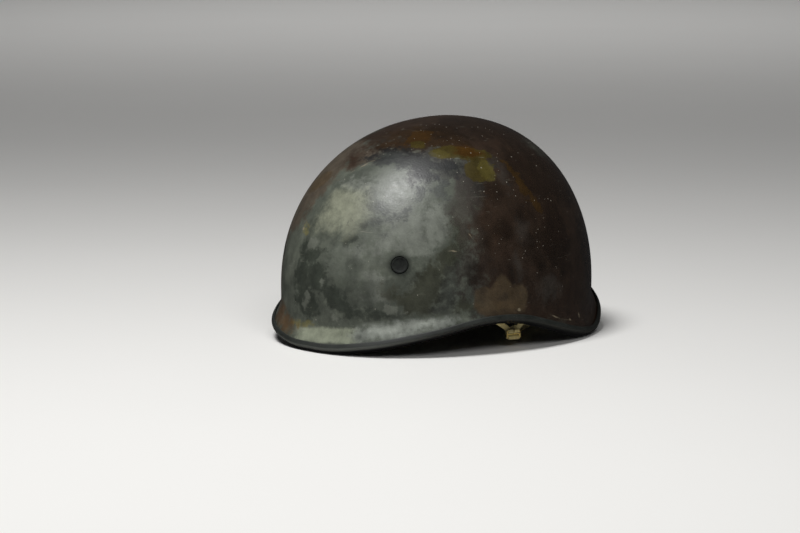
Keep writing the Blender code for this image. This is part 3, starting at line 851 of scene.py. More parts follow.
    def dusted(self, recipe: Recipe, paint: Feed) -> bpy.types.NodeSocket:
        """Scatter flecks of dust and chipped paint, thickest where the dust coat lies."""
        reach = recipe.add("Attribute", output="Fac", attribute_name=self.dust.attribute)
        shake = recipe.add(
            "TexNoise", {"Vector": recipe.where, "Scale": every(1.429), "Detail": 1.0}, "Color"
        )
        shaken = recipe.add(
            "VectorMath", {0: shake, 1: [1.6 * MM] * 3, 2: recipe.where}, operation="MULTIPLY_ADD"
        )
        bar = recipe.add(
            "MapRange",
            {"Value": reach, "From Min": -15.0, "From Max": 12.0, "To Min": 0.96, "To Max": 0.76},
        )
        for apart, size in self.flecks:
            cells = recipe.add("TexVoronoi", {"Vector": shaken, "Scale": every(apart)})
            dot = recipe.add(
                "MapRange",
                {
                    "Value": cells, "From Min": size * 0.5, "From Max": size,
                    "To Min": 0.6, "To Max": 0.0,
                },
            )
            pick = recipe.add("SeparateColor", {"Color": cells.node.outputs["Color"]})
            chosen = recipe.add("Math", {0: pick, 1: bar}, operation="GREATER_THAN")
            mask = recipe.add("Math", {0: dot, 1: chosen}, operation="MULTIPLY")
            paint = recipe.lay(paint, colour(self.dust.colour), mask)
        return paint


@dataclass(frozen=True)
class LaminateInside:
    """The inside of a moulded aramid laminate under one thin coat of paint.

    The cloth's strands, pressed flat in the mould, still show through the paint.
    """

    name: str = "painted_aramid_laminate"
    strand: float = 3.0

    def make(self) -> bpy.types.Material:
        """Return the finish of the shell's inner face."""
        recipe = Recipe(self.name, "3b3f36", 0.6)
        sides = recipe.add("SeparateXYZ", {"Vector": recipe.where}).node.outputs
        cloth: Feed = 1.0
        for side in sides[:2]:
            phase = recipe.add("Math", {0: side, 1: math.pi * every(self.strand)}, operation="MULTIPLY")
            wave = recipe.add("Math", {0: phase}, operation="SINE")
            cloth = recipe.add("Math", {0: cloth, 1: wave}, operation="MULTIPLY")
        stains = recipe.add(
            "TexNoise",
            {"Vector": recipe.where, "Scale": every(33.33), "Detail": 6.0, "Roughness": 0.6},
        )
        paint = recipe.tint(colour("343830"), "4a4e43", stains, (0.35, 0.65))
        relief = recipe.add("Math", {0: cloth, 1: 0.5, 2: stains}, operation="MULTIPLY_ADD")
        return recipe.finished(paint, relief, 0.5, 0.25)


@dataclass(frozen=True)
class ExtrudedRubber:
    """Extruded black rubber with a grey bloom on its corner, and with painted light: a painted
    shadow line along the outer leg's lip, a painted highlight along the corner towards the
    nape, and painted shade that turns the underside and the inner leg near black.

    The UV map's first share runs round the section, from the outer leg's lip over the face,
    the corner and the underside to the inner leg.
    """

    name: str = "extruded_rubber"

    def make(self) -> bpy.types.Material:
        """Return the finish of the edging."""
        recipe = Recipe(self.name, "252825", 0.6)
        bloom = recipe.add(
            "TexNoise",
            {"Vector": recipe.where, "Scale": every(14.29), "Detail": 6.0, "Roughness": 0.65},
        )
        tone = recipe.tint(colour("191c19"), "292c28", bloom, (0.35, 0.7))
        lie = recipe.add("TexCoord", output="UV")
        around = recipe.add("SeparateXYZ", {"Vector": lie})
        tone = recipe.tint(tone, "343530", around, (0.24, 0.36), (0.0, 0.8), "SMOOTHSTEP")
        # Painted highlight: a lighter line along the corner, strongest towards the nape.
        corner_highlight = recipe.add(
            "MapRange", {"Value": around, "From Min": 0.27, "From Max": 0.33},
            interpolation_type="SMOOTHSTEP",
        )
        lengthways = recipe.add("SeparateXYZ", {"Vector": recipe.where}, "Y")
        nape = recipe.add(
            "MapRange", {"Value": lengthways, "From Min": 0.09, "From Max": 0.13, "To Max": 0.6}
        )
        # The painted highlight's mask, faded in towards the nape.
        handled = recipe.add("Math", {0: corner_highlight, 1: nape}, operation="MULTIPLY")
        tone = recipe.lay(tone, colour("62655f"), handled)
        specks = recipe.add("TexVoronoi", {"Vector": recipe.where, "Scale": every(3.846)})
        tone = recipe.tint(tone, "5d5b55", specks, (0.08, 0.13), (0.35, 0.0))
        # Painted shadow line: the outer leg's lip is darkened where it meets the shell.
        tone = recipe.tint(tone, "0f110f", around, (0.06, 0.14), (0.5, 0.0))
        # Painted shade: the underside and the inner leg are painted near black.
        tone = recipe.tint(tone, "0a0b0a", around, (0.40, 0.44), (0.0, 1.0), "SMOOTHSTEP")
        gloss = recipe.add(
            "MapRange",
            {"Value": bloom, "From Min": 0.3, "From Max": 0.7, "To Min": 0.5, "To Max": 0.68},
        )
        skin = recipe.add("TexNoise", {"Vector": recipe.where, "Scale": every(1.111), "Detail": 3.0})
        return recipe.finished(tone, skin, 0.3, 0.1, gloss)


@dataclass(frozen=True)
class BlackenedSteel:
    """Turned steel, blackened in hot salts, with dull green-grey paint left in its dish."""

    name: str = "hot_blackened_steel"

    def make(self) -> bpy.types.Material:
        """Return the finish of the bolts."""
        recipe = Recipe(self.name, "151815", 0.72)
        wear = recipe.add(
            "TexNoise",
            {"Vector": recipe.where, "Scale": every(3.125), "Detail": 6.0, "Roughness": 0.65},
        )
        tone = recipe.tint(colour("0a0d0a"), "1a1f19", wear, (0.4, 0.7))
        gloss = recipe.add("MapRange", {"Value": wear, "To Min": 0.62, "To Max": 0.8})
        return recipe.finished(tone, wear, 0.3, 0.1, gloss)


@dataclass(frozen=True)
class CottonWebbing:
    """Cotton webbing, woven with its warp threads over a finer weft, in millimetres.

    The UV map runs in metres, along the tape and across it.
    """

    name: str = "woven_cotton_webbing"
    warp: float = 0.8
    weft: float = 0.6

    def make(self) -> bpy.types.Material:
        """Return the finish of the straps."""
        recipe = Recipe(self.name, "bfae74", 0.85)
        lie = recipe.add("TexCoord", output="UV")
        ways = recipe.add("SeparateXYZ", {"Vector": lie}).node.outputs
        weave: Feed = 1.0
        for way, thread in zip(ways, (self.weft, self.warp)):
            phase = recipe.add("Math", {0: way, 1: math.pi * every(thread)}, operation="MULTIPLY")
            wave = recipe.add("Math", {0: phase}, operation="SINE")
            weave = recipe.add("Math", {0: weave, 1: wave}, operation="MULTIPLY")
        ridge = recipe.add("Math", {0: weave}, operation="ABSOLUTE")
        dirt = recipe.add(
            "TexNoise",
            {"Vector": recipe.where, "Scale": every(7.692), "Detail": 5.0, "Roughness": 0.6},
        )
        cloth = recipe.tint(colour("c4b374"), "e8d9a0", dirt, (0.35, 0.68))
        # Painted shade: the hollows between the threads are darkened.
        cloth = recipe.tint(cloth, "7a6a40", ridge, (0.0, 1.0), (0.45, 0.0))
        recipe.shader.inputs["Sheen Weight"].default_value = 0.15
        return recipe.finished(cloth, ridge, 0.8, 0.15)


@dataclass(frozen=True)
class StoveEnamel:
    """Khaki enamel stoved on stamped brass, satin, rubbed through to brown metal in places."""

    name: str = "khaki_stove_enamel"

    def make(self) -> bpy.types.Material:
        """Return the finish of the slides."""
        recipe = Recipe(self.name, "c9b674", 0.42)
        tarnish = recipe.add(
            "TexNoise",
            {"Vector": recipe.where, "Scale": every(3.846), "Detail": 6.0, "Roughness": 0.6},
        )
        tone = recipe.tint(colour("f6dd84"), "c29c48", tarnish, (0.42, 0.68))
        tone = recipe.tint(tone, "5a4320", tarnish, (0.56, 0.60))
        gloss = recipe.add("MapRange", {"Value": tarnish, "To Min": 0.3, "To Max": 0.55})
        return recipe.finished(tone, tarnish, 0.2, 0.1, gloss)


@dataclass(frozen=True)
class MouldedNylon:
    """Injection moulded black nylon with a fine spark-eroded grain."""

    name: str = "moulded_nylon"

    def make(self) -> bpy.types.Material:
        """Return the finish of the buckle."""
        recipe = Recipe(self.name, "1c1d1c", 0.5)
        grit = recipe.add("TexNoise", {"Vector": recipe.where, "Scale": every(0.5556), "Detail": 2.0})
        dirt = recipe.add("TexNoise", {"Vector": recipe.where, "Scale": every(8.333), "Detail": 5.0})
        tone = recipe.lay(colour("191a19"), colour("2c2d2b"), dirt)
        return recipe.finished(tone, grit, 0.4, 0.08)


@dataclass(frozen=True)
class PaleFloor:
    """Satin white laminate board, plain."""

    name: str = "white_board"

    def make(self) -> bpy.types.Material:
        """Return the finish of the floor."""
        recipe = Recipe(self.name, "f0efec", 0.5)
        haze = recipe.add("TexNoise", {"Vector": recipe.where, "Scale": every(333.3), "Detail": 3.0})
        tone = recipe.lay(colour("efeeeb"), colour("f2f1ee"), haze)
        return recipe.finished(tone)


# The helmet's pieces


@dataclass
class Bolt:
    """A strap bolt: a low dished head let into the shell and a flange inside."""

    form: ShellForm
    end: End
    side: Side
    height: float = 0.0740
    head_radius: float = 0.0068
    head: float = 0.0018
    sunk: float = 0.0007
    shank_radius: float = 0.0026
    flange_radius: float = 0.0060
    flange: float = 0.0018
    dish: float = 0.0004
    rounding: float = 0.0004
    clearance: float = 0.00035
    eyelet_gap: float = 0.0010
    tape: float = 0.0010
    angles: dict[End, float] = field(
        default_factory=lambda: {End.REAR: math.radians(29.1), End.FRONT: math.radians(151.0)}
    )

    @property
    def name(self) -> str:
        """Return the piece's name."""
        return f"{self.end.value}_{self.side.value}_bolt"

    def place(self) -> Matrix:
        """Return the bolt's frame on the shell's face, with Z straight out."""
        return self.form.frame(self.angles[self.end] * self.side.sign, self.height)

    def eyelet_depth(self) -> float:
        """Return how far below the shell's face the middle of the webbing lies."""
        return self.form.wall + self.eyelet_gap + self.tape / 2.0

    def cutters(self) -> list[bpy.types.Mesh]:
        """Return the shapes that make room for the bolt in the shell."""
        recess = self.sunk + self.head + self.clearance
        above = 0.004
        lift = Matrix.Translation((0.0, 0.0, (above - recess) / 2.0))
        return [
            cylinder(self.head_radius + self.clearance, recess + above, self.place() @ lift),
            cylinder(self.shank_radius + self.clearance, 3.0 * self.form.wall, self.place(), 32),
        ]

    def build(self, steel: bpy.types.Material) -> bpy.types.Object:
        """Turn the bolt and set it in its place."""
        head_back = self.sunk + self.head
        flange_front = self.eyelet_depth() + self.tape / 2.0 + self.clearance
        flange_back = flange_front + self.flange
        small = self.rounding
        dish = ((0.0, 1.0), (0.60, 1.0), (0.70, 0.7), (0.80, 0.15), (0.86, 0.0))
        outline = (
            *((self.head_radius * out, -self.sunk - self.dish * down) for out, down in dish),
            (self.head_radius - small, -self.sunk),
            (self.head_radius - small * 0.3, -self.sunk - small * 0.3),
            (self.head_radius, -self.sunk - small),
            (self.head_radius, -head_back),
            (self.shank_radius, -head_back),
            (self.shank_radius, -flange_front),
            (self.flange_radius - small, -flange_front),
            (self.flange_radius, -flange_front - small),
            (self.flange_radius, -flange_back + small),
            (self.flange_radius - small, -flange_back),
            (0.0, -flange_back),
        )
        shape = bmesh.new()
        verts = [shape.verts.new((radius, 0.0, height)) for radius, height in outline]
        edges = [shape.edges.new(pair) for pair in zip(verts, verts[1:])]
        bmesh.ops.spin(
            shape, geom=[*verts, *edges], cent=(0, 0, 0), axis=(0, 0, 1), dvec=(0, 0, 0),
            angle=math.tau, steps=64, use_merge=True, use_normal_flip=False, use_duplicate=False,
        )
        bmesh.ops.remove_doubles(shape, verts=shape.verts[:], dist=1e-6)
        face_outwards(shape)
        bmesh.ops.transform(shape, matrix=self.place(), verts=shape.verts[:])
        node = f"bolt_{self.end.value}_{self.side.value}"
        mesh = into_mesh(shape, self.name)
        return hand_over(self.name, mesh, [steel], [node], sharp=30.0)


@dataclass
class Shell:
    """The moulded shell, with its wall, its flared lip and the recesses of the bolts."""

    form: ShellForm
    bolts: Sequence[Bolt]
    columns: int = 288
    flare_rows: int = 24
    crown_rows: int = 84
    unevenness: float = 0.00022

    def place(self, around: float, up: float) -> Vector:
        """Return the point of the outer face at its two shares of the grid."""
        angle = math.tau * around
        lip = self.form.lip_height(angle)
        foot = lip + self.form.flare_height.at(angle)
        share = self.flare_rows / (self.flare_rows + self.crown_rows)
        if up < share:
            height = lip + (foot - lip) * up / share
        else:
            climb = math.sin(math.pi / 2.0 * (up - share) / (1.0 - share))
            height = foot + climb * (self.form.crown_height - foot)
        point = self.form.point(angle, height)
        centre = Vector((0.0, self.form.centre_y, 0.04))
        inwards = (centre - point).normalized()
        return point + inwards * self.unevenness * (0.5 + 0.5 * noise.noise(point * 26.0))

    def build(self, camouflage: CamouflagePaint, inside: bpy.types.Material) -> bpy.types.Object:
        """Mould the shell, let the bolts in and paint it."""
        paint = camouflage.make()
        shape = bent_grid(self.columns, self.flare_rows + self.crown_rows, self.place)
        face_outwards(shape)
        skin = temporary("shell_blank", into_mesh(shape, "shell_blank"))
        skin.data.materials.append(paint)
        skin.data.materials.append(inside)
        wall = skin.modifiers.new("Wall", "SOLIDIFY")
        wall.thickness = self.form.wall
        wall.offset = -1.0
        wall.use_even_offset = True
        wall.material_offset = 1
        wall.material_offset_rim = 1
        cutters = [cutter for bolt in self.bolts for cutter in bolt.cutters()]
        mesh = cut_away(worked(skin), cutters)
        camouflage.lay_on(mesh)
        return hand_over(
            "camouflaged_shell", mesh, [paint, inside], ["shell"], sharp=40.0
        )


@dataclass
class Edging:
    """The rubber U strip that is pushed over the lip and pressed flat where it rests."""

    form: ShellForm
    leg: float = 0.0017
    web: float = 0.0005
    cover: float = 0.0024
    corner: float = 0.0016
    gap: float = 0.0002
    stations: int = 288

    def section(self, angle: float) -> list[Vector]:
        """Return the rubber's outline at one angle, as a closed loop."""
        lip = self.form.lip_height(angle)
        edge = self.form.frame(angle, lip)
        outward = edge.col[2].to_3d()
        down = -edge.col[1].to_3d()
        tip = edge.translation
        outer = self.gap
        inner = -self.form.wall - self.gap
        rise = self.cover - self.leg / 2.0

        def beside(height: float, away: float) -> Vector:
            """Return the point at a height above the lip and a distance off the outer face."""
            wall = self.form.frame(angle, lip + height)
            return wall.translation + wall.col[2].to_3d() * away

        def rounded(away: float, degrees: float) -> Vector:
            """Return a point of the rounded corner whose middle lies away from the face."""
            turn = math.radians(degrees)
            depth = self.web + self.leg - self.corner * (1.0 - math.sin(turn))
            return tip + outward * (away + self.corner * math.cos(turn)) + down * depth

        def lip_of_leg(middle: float, degrees: float) -> Vector:
            """Return a point of the half circle that ends a leg."""
            turn = math.radians(degrees)
            half = self.leg / 2.0
            return beside(rise + half * math.sin(turn), middle + half * math.cos(turn))

        outer_middle = outer + self.leg / 2.0
        inner_middle = inner - self.leg / 2.0
        points = [lip_of_leg(outer_middle, turn) for turn in (165, 135, 105, 75, 50, 25, 0)]
        points += [beside(rise * share, outer + self.leg) for share in (0.75, 0.5, 0.25)]
        points += [
            rounded(outer + self.leg - self.corner, turn) for turn in (0, 18, 36, 54, 72, 90)
        ]
        points.append(tip + outward * (outer + inner) / 2.0 + down * (self.web + self.leg))
        points += [
            rounded(inner - self.leg + self.corner, turn) for turn in (90, 108, 126, 144, 162, 180)
        ]
        points += [beside(rise * share, inner - self.leg) for share in (0.25, 0.5, 0.75)]
        points += [lip_of_leg(inner_middle, turn) for turn in (180, 155, 130, 105, 75, 45, 15)]
        points += [
            beside(rise * 0.5, inner),
            tip + outward * inner + down * self.web,
            tip + outward * outer + down * self.web,
            beside(rise * 0.5, outer),
        ]
        return [Vector((point.x, point.y, max(point.z, 0.0))) for point in points]

    def build(self, rubber: bpy.types.Material) -> bpy.types.Object:
        """Sweep the strip once round the rim."""
        sections = [self.section(math.tau * i / self.stations) for i in range(self.stations)]
        count = len(sections[0])

        def place(around: float, along: float) -> Vector:
            """Return the point at a share of the section and of the rim."""
            return sections[round(along * self.stations) % self.stations][
                round(around * count) % count
            ]

        shape = bent_grid(count, self.stations, place)
        face_outwards(shape)
        mesh = into_mesh(shape, "rubber_edging")
        return hand_over(
            "rubber_edging", mesh, [rubber], ["rim_edging"], sharp=50.0
        )


@dataclass(frozen=True)
class Stop:
    """A place on a strap: its centre, the direction of its width and its width."""

    centre: Vector
    across: Vector
    width: float

    def twin(self, side: Side) -> "Stop":
        """Return the stop on a side, from the one on the right."""
        flip = Vector((side.sign, 1.0, 1.0))
        return Stop(self.centre * flip, self.across * flip, self.width)


@dataclass(frozen=True)
class Tape:
    """Flat webbing that runs through stops."""

    stops: tuple[Stop, ...]
    thickness: float = 0.0010
    columns: int = 24
    squareness: float = 0.28

    def mesh(self, name: str) -> bpy.types.Mesh:
        """Return the webbing's mesh, its UV map in metres along and across the tape."""
        stops = self.stops
        last = len(stops) - 1
        lengths = [0.0]
        for before, after in zip(stops, stops[1:]):
            lengths.append(lengths[-1] + (after.centre - before.centre).length)

        def round_square(value: float) -> float:
            """Push a sine or cosine out from a circle towards a square."""
            return math.copysign(abs(value) ** self.squareness, value)

        def place(around: float, along: float) -> Vector:
            """Return the point at a share of the tape's section and of its stops."""
            i = round(along * last)
            stop = stops[i]
            run = (stops[min(i + 1, last)].centre - stops[max(i - 1, 0)].centre).normalized()
            across = (stop.across - run * stop.across.dot(run)).normalized()
            face = run.cross(across)
            turn = math.tau * (around % 1.0)
            return (
                stop.centre
                + across * stop.width / 2.0 * round_square(math.cos(turn))
                + face * self.thickness / 2.0 * round_square(math.sin(turn))
            )

        shape = bent_grid(self.columns, last, place)
        layer = shape.loops.layers.uv["UVMap"]
        for face in shape.faces:
            for loop in face.loops:
                around, along = loop[layer].uv
                i = round(along * last)
                across = stops[i].width / 2.0 * round_square(math.cos(math.tau * around))
                loop[layer].uv = (lengths[i], across)
        close_ends(shape)
        return into_mesh(shape, name)


def hermite(start: Vector, leave: Vector, end: Vector, arrive: Vector, t: float) -> Vector:
    """Return the point at share t of the cubic from start to end."""
    return (
        start * (1 + 2 * t) * (1 - t) ** 2
        + leave * t * (1 - t) ** 2
        + end * t * t * (3 - 2 * t)
        - arrive * t * t * (1 - t)
    )


@dataclass
class Slide:
    """An enamelled brass ladder slide of three bars, hanging just inside the arch."""

    side: Side = Side.RIGHT
    centre: tuple[float, float, float] = (-0.1015, 0.0134, 0.0106)
    heading: float = math.radians(62.0)
    roll: float = math.radians(3.0)
    width: float = 0.0116
    rail: float = 0.0010
    bar: float = 0.0009
    depth: float = 0.0016
    tape: float = 0.0010
    clearance: float = 0.00035

    @property
    def pitch(self) -> float:
        """Return the distance between the middles of two bars."""
        return self.bar + self.tape + 2.0 * self.clearance

    def place(self) -> Matrix:
        """Return the right slide's frame: X towards the nape, Y outwards, Z up."""
        return (
            Matrix.Translation(self.centre)
            @ Matrix.Rotation(self.heading, 4, "Z")
            @ Matrix.Rotation(self.roll, 4, "Y")
        )

    def build(self, enamel: bpy.types.Material) -> bpy.types.Object:
        """Stamp the slide out of sheet and round its edges."""
        half = self.width / 2.0
        columns = (-half, -half + self.rail, half - self.rail, half)
        levels = [
            middle * self.pitch + edge * self.bar / 2.0
            for middle in (-1, 0, 1) for edge in (-1, 1)
        ]

        def place(across: float, up: float) -> Vector:
            """Return a corner of the sheet from its column and its level."""
            return Vector((
                columns[round(across * 3)], -self.depth / 2.0, levels[round(up * 5)]
            ))

        shape = bent_grid(3, 5, place)
        slots = [
            face for face in shape.faces
            if abs(face.calc_center_median().x) < half - self.rail
            and self.bar / 2.0 < abs(face.calc_center_median().z) < self.pitch - self.bar / 2.0
        ]
        bmesh.ops.delete(shape, geom=slots, context="FACES")
        sheet = shape.faces[:]
        raised = bmesh.ops.extrude_face_region(shape, geom=sheet)["geom"]
        moved = [part for part in raised if isinstance(part, bmesh.types.BMVert)]
        bmesh.ops.translate(shape, verts=moved, vec=(0.0, self.depth, 0.0))
        face_outwards(shape)
        corners = [edge for edge in shape.edges if edge.calc_face_angle(0.0) > 1.0]
        bevelled(shape, 0.00022, corners)
        bmesh.ops.transform(shape, matrix=self.place(), verts=shape.verts[:])
        if self.side is Side.LEFT:
            bmesh.ops.scale(shape, vec=(-1.0, 1.0, 1.0), verts=shape.verts[:])
            bmesh.ops.reverse_faces(shape, faces=shape.faces[:])
        name = f"{self.side.value}_slide"
        mesh = into_mesh(shape, name)
        return hand_over(name, mesh, [enamel], [f"slide_{self.side.value}"], sharp=60.0)

    def wrap(self, bar: float, turns: Sequence[float], aside: float) -> list[Vector]:
        """Lay webbing round a bar, in the slide's own frame.

        Args:
            bar: Height of the bar's middle.
            turns: Directions from the bar in degrees, 0 being outwards and 90 up.
            aside: How far towards the nape the webbing lies.

        Returns:
            The places of the middle of the webbing.
        """
        reach = self.clearance + self.tape / 2.0
        places = []
        for turn in turns:
            out, up = math.cos(math.radians(turn)), math.sin(math.radians(turn))
            places.append(Vector((
                aside,
                math.copysign(self.depth / 2.0, out) + reach * out,
                bar + math.copysign(self.bar / 2.0, up) + reach * up,
            )))
        return places

    def tucked_end(self, bar: float, aside: float) -> Vector:
        """Return where webbing that goes round a bar ends, over the bar's middle."""
        return Vector((aside, 0.0, bar + self.bar / 2.0 + self.clearance + self.tape / 2.0))


@dataclass
class Arm:
    """One arm of the strap, from its slide up to its bolt inside the shell."""

    bolt: Bolt
    slide: Slide
    width: float = 0.0042
    eyelet: float = 0.0120
    pull: float = 0.035
    steps: int = 48
    leans: dict[End, float] = field(
        default_factory=lambda: {End.REAR: math.radians(45.0), End.FRONT: math.radians(-60.0)}
    )
    twists: dict[End, float] = field(
        default_factory=lambda: {End.REAR: 0.0, End.FRONT: math.radians(45.0)}
    )

    def stops(self) -> list[Stop]:
        """Return the stops of the arm on the right side."""
        end = self.bolt.end
        ladder = self.slide.place()
        sideways = ladder.col[0].to_3d()
        room = self.slide.width / 2.0 - self.slide.rail - self.slide.clearance / 2.0
        aside = (room - self.width / 2.0) * (1.0 if end is End.REAR else -1.0)
        pitch = self.slide.pitch
        loop = [self.slide.tucked_end(pitch, aside)]
        loop += self.slide.wrap(pitch, range(75, -166, -15), aside)
        stops = [Stop(ladder @ place, sideways, self.width) for place in loop]

        start = ladder @ (loop[-1] + Vector((0.0, -0.0005, 1.2 * self.slide.bar)))
        bolt = Bolt(self.bolt.form, end, Side.RIGHT)
        place = bolt.place()
        outward = place.col[2].to_3d()
        eyelet = place @ Vector((0.0, 0.0, -bolt.eyelet_depth()))
        chord = start - eyelet
        towards = (chord - outward * chord.dot(outward)).normalized()
        tip = eyelet + towards * self.eyelet * 0.62
        across = outward.cross(towards)
        if across.dot(sideways) < 0.0:
            across = -across
        lean = self.leans[end]
        leave = ladder.col[2].to_3d() * math.cos(lean) + sideways * math.sin(lean)
        leave -= ladder.col[1].to_3d() * 0.40
        leave *= self.pull
        arrive = -(towards * 0.7 + chord.normalized() * 0.3) * self.pull * 2.0
        for i in range(self.steps):
            t = i / self.steps
            centre = hermite(start, leave, tip, arrive, t)
            ahead = hermite(start, leave, tip, arrive, t + 0.01)
            twist = self.twists[end] * math.sin(math.pi * t**0.5)
            turned = Matrix.Rotation(twist, 3, ahead - centre) @ sideways.lerp(across, t)
            stops.append(Stop(centre, turned, self.width))
        radius = self.eyelet / 2.0
        for i in range(25):
            share = 0.62 - i / 24.0 * 1.10
            away = share * self.eyelet
            wide = math.sqrt(max(radius**2 - away**2, 0.0)) if away < radius else 0.0
            width = max(2.0 * wide, self.width if share > 0.0 else self.width * 0.4)
            stops.append(Stop(eyelet + towards * away, across, min(width, self.eyelet)))
        return stops

    def build(self, cotton: bpy.types.Material) -> bpy.types.Object:
        """Lay the arm and punch its eyelet."""
        side = self.bolt.side
        end = self.bolt.end
        tape = Tape(tuple(stop.twin(side) for stop in self.stops()))
        name = f"{end.value}_{side.value}_strap"
        sunk = Matrix.Translation((0.0, 0.0, -self.bolt.eyelet_depth()))
        punch = cylinder(
            self.bolt.shank_radius + self.bolt.clearance, 0.006, self.bolt.place() @ sunk, 32
        )
        mesh = cut_away(tape.mesh(name), [punch])
        node = f"strap_{end.value}_{side.value}"
        return hand_over(name, mesh, [cotton], [node], sharp=60.0)


@dataclass
class ChinStrap:
    """The chin strap, standing on its edge from slide to slide with a buckle in its middle."""

    slide: Slide
    width: float = 0.0090
    length: float = 0.320
    front: tuple[float, float, float] = (0.0, -0.0995, 0.0068)
    heights: tuple[tuple[float, float], ...] = ((0.0, 0.0063), (0.30, 0.0057), (1.0, 0.0068))
    twists: tuple[tuple[float, float], ...] = (
        (0.0, 0.0), (0.30, math.radians(90)), (1.0, math.radians(90)),
    )
    buckle: float = 0.0200
    buckle_wall: float = 0.0013
    clearance: float = 0.00035
    steps: int = 120

    def start(self) -> Vector:
        """Return where the strap leaves the back of the right slide."""
        slide = self.slide
        below = -slide.pitch - slide.bar / 2.0 - slide.clearance - slide.tape / 2.0
        return slide.place() @ Vector((0.0, -slide.depth / 2.0 - slide.tape, below))

    def bow(self, bulge: float, t: float) -> Vector:
        """Return the middle of the right half, level, at share t of its way."""
        start = self.start().to_2d().to_3d()
        inward = -self.slide.place().col[1].to_2d().to_3d().normalized()
        end = Vector((-self.buckle / 2.0 - self.clearance, self.front[1], 0.0))
        return hermite(start, inward * bulge, end, Vector((bulge, 0.0, 0.0)), t)

    def span(self, bulge: float) -> float:
        """Return the length from one slide to the other for a given bulge."""
        points = [self.bow(bulge, i / 60) for i in range(61)]
        half = sum((after - before).length for before, after in zip(points, points[1:]))
        return 2.0 * half + self.buckle

    def fitting_bulge(self) -> float:
        """Return the bulge that gives the strap its real length."""
        low, high = 0.03, 0.5
        for _ in range(30):
            middle = (low + high) / 2.0
            if self.span(middle) < self.length:
                low = middle
            else:
                high = middle
        return low

    def stops(self) -> list[Stop]:
        """Return the stops of the right half, from its slide to the buckle."""
        ladder = self.slide.place()
        sideways = ladder.col[0].to_3d()
        pitch = self.slide.pitch
        loop = [self.slide.tucked_end(-pitch, 0.0)]
        loop += self.slide.wrap(-pitch, range(75, -76, -15), 0.0)
        stops = [Stop(ladder @ place, sideways, self.width) for place in loop]
        bulge = self.fitting_bulge()
        for i in range(self.steps + 1):
            t = i / self.steps
            level = self.bow(bulge, t)
            along = (self.bow(bulge, t + 0.01) - level).normalized()
            twist = smooth(self.twists, t)
            across = Vector((-along.y, along.x, 0.0)) * math.cos(twist)
            across.z = math.sin(twist)
            lift = Vector((0.0, 0.0, smooth(self.heights, t)))
            stops.append(Stop(level + lift, across, self.width))
        end = Vector((-self.clearance / 2.0, self.front[1], self.front[2]))
        stops.append(Stop(end, Vector((0.0, 0.0, 1.0)), self.width))
        return stops

    def build_half(self, side: Side, cotton: bpy.types.Material) -> bpy.types.Object:
        """Lay one half of the strap."""
        name = f"chin_strap_{side.value}_half"
        tape = Tape(tuple(stop.twin(side) for stop in self.stops()))
        node = f"chin_strap_{side.value}"
        return hand_over(name, tape.mesh(name), [cotton], [node], sharp=60.0)

    def build_buckle(self, nylon: bpy.types.Material) -> bpy.types.Object:
        """Mould the plain sleeve of the buckle."""
        shape = bmesh.new()
        high = self.width + 2.0 * self.clearance + 2.0 * self.buckle_wall
        deep = self.slide.tape + 2.0 * self.clearance + 2.0 * self.buckle_wall
        size = Matrix.Diagonal((self.buckle, deep, high, 1.0))
        bmesh.ops.create_cube(shape, size=1.0, matrix=size)
        long_edges = [
            edge for edge in shape.edges
            if abs(edge.verts[0].co.x - edge.verts[1].co.x) > self.buckle / 2.0
        ]
        bevelled(shape, 0.0009, long_edges)
        ends = [face for face in shape.faces if abs(face.normal.x) > 0.9]
        bmesh.ops.inset_individual(
            shape, faces=ends, thickness=self.buckle_wall, depth=0.0, use_even_offset=True
        )
        loops = [edge for face in ends for edge in face.edges]
        bmesh.ops.delete(shape, geom=ends, context="FACES_ONLY")
        bmesh.ops.bridge_loops(shape, edges=loops)
        face_outwards(shape)
        mouths = [edge for edge in shape.edges if edge.calc_face_angle(0.0) > 1.0]
        bevelled(shape, 0.0003, mouths)
        place = Matrix.Translation(self.front)
        bmesh.ops.transform(shape, matrix=place, verts=shape.verts[:])
        mesh = into_mesh(shape, "chin_buckle_sleeve")
        return hand_over(
            "chin_buckle_sleeve", mesh, [nylon], ["chin_buckle"], sharp=60.0
        )


# The studio


@dataclass(frozen=True)
class Softbox:
    """A square area light that hangs round its target and faces it.

    Azimuth and elevation are in degrees: azimuth 0 is in front of the wearer, 90 on the
    wearer's left and 180 behind the nape. Spread is the angle that its light fans out to,
    and a light that isn't mirrored leaves no reflection of itself.
    """

    name: str
    azimuth: float
    elevation: float
    distance: float
    size: float
    power: float
    target: tuple[float, float, float] = (0.0, 0.0, 0.09)
    spread: float = 180.0
    mirrored: bool = True

    def hang(self) -> None:
        """Put the light in the scene, facing its target."""
        lamp = bpy.data.lights.new(self.name, "AREA")
        lamp.shape = "SQUARE"
        lamp.size = self.size
        lamp.energy = self.power
        lamp.spread = math.radians(self.spread)
        light = bpy.data.objects.new(self.name, lamp)
        around, up = math.radians(self.azimuth), math.radians(self.elevation)
        back = Vector((
            math.sin(around) * math.cos(up), -math.cos(around) * math.cos(up), math.sin(up)
        ))
        turned = (-back).to_track_quat("-Z", "Y").to_matrix().to_4x4()
        place = Matrix.Translation(Vector(self.target) + back * self.distance)
        light.matrix_world = place @ turned
        light.visible_glossy = self.mirrored
        bpy.context.scene.collection.objects.link(light)


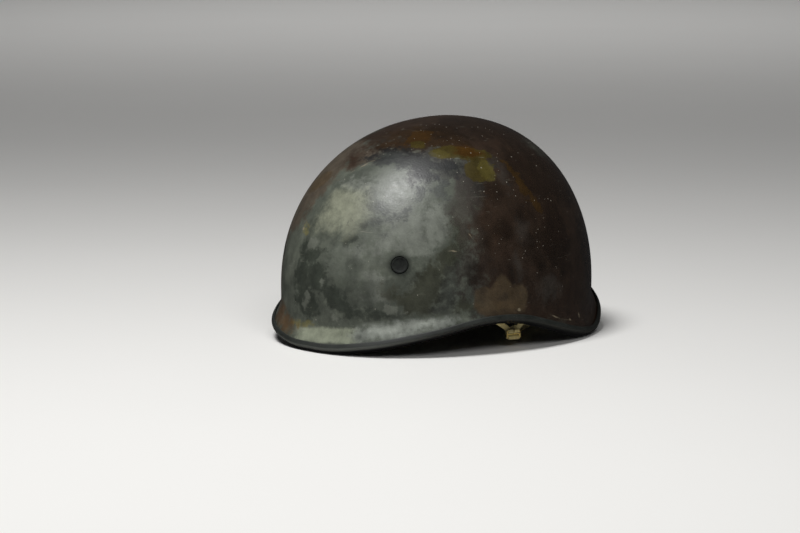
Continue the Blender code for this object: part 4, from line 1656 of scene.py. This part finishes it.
@dataclass
class Studio:
    """The floor, the lights and the camera."""

    floor_size: float = 30.0
    world: float = 0.04
    camera_place: tuple[float, float, float] = (-1.5699, 1.6042, 0.3932)
    camera_way: tuple[float, float, float] = (0.70100, -0.69730, -0.14954)
    lens: float = 121.5
    lights: tuple[Softbox, ...] = (
        Softbox("key", azimuth=185, elevation=68, distance=1.8, size=0.6, power=32),
        Softbox(
            "second", azimuth=242, elevation=40, distance=2.2, size=0.8, power=11, mirrored=False
        ),
        Softbox(
            "backdrop", azimuth=45, elevation=89, distance=4.0, size=4.0, power=28,
            target=(3.2, -3.2, 0.0), spread=70, mirrored=False,
        ),
    )

    def build(self) -> None:
        """Lay the floor, hang the lights and set up the camera."""
        shape = bmesh.new()
        bmesh.ops.create_grid(shape, x_segments=4, y_segments=4, size=self.floor_size / 2.0)
        floor = temporary("floor", into_mesh(shape, "floor"))
        floor.data.materials.append(PaleFloor().make())
        floor.visible_glossy = False

        scene = bpy.context.scene
        world = bpy.data.worlds.new("studio")
        world.use_nodes = True
        background = world.node_tree.nodes["Background"]
        background.inputs["Color"].default_value = colour("f2f2f4")
        background.inputs["Strength"].default_value = self.world
        scene.world = world
        for light in self.lights:
            light.hang()

        lens = bpy.data.cameras.new("camera")
        lens.lens = self.lens
        lens.clip_end = 100.0
        camera = bpy.data.objects.new("camera", lens)
        turned = Vector(self.camera_way).to_track_quat("-Z", "Y").to_matrix().to_4x4()
        camera.matrix_world = Matrix.Translation(self.camera_place) @ turned
        scene.collection.objects.link(camera)
        scene.camera = camera
        scene.view_settings.view_transform = "Standard"


def main() -> None:
    """Build the helmet and its studio."""
    logging.basicConfig(level=logging.INFO, format="%(message)s")
    Studio().build()
    form = ShellForm()
    bolts = [Bolt(form, end, side) for end in End for side in Side]
    steel = BlackenedSteel().make()
    cotton = CottonWebbing().make()
    enamel = StoveEnamel().make()
    Shell(form, bolts).build(CamouflagePaint(form), LaminateInside().make())
    Edging(form).build(ExtrudedRubber().make())
    for bolt in bolts:
        bolt.build(steel)
        Arm(bolt, Slide()).build(cotton)
    strap = ChinStrap(Slide())
    for side in Side:
        Slide(side).build(enamel)
        strap.build_half(side, cotton)
    strap.build_buckle(MouldedNylon().make())


if __name__ == "__main__":
    main()
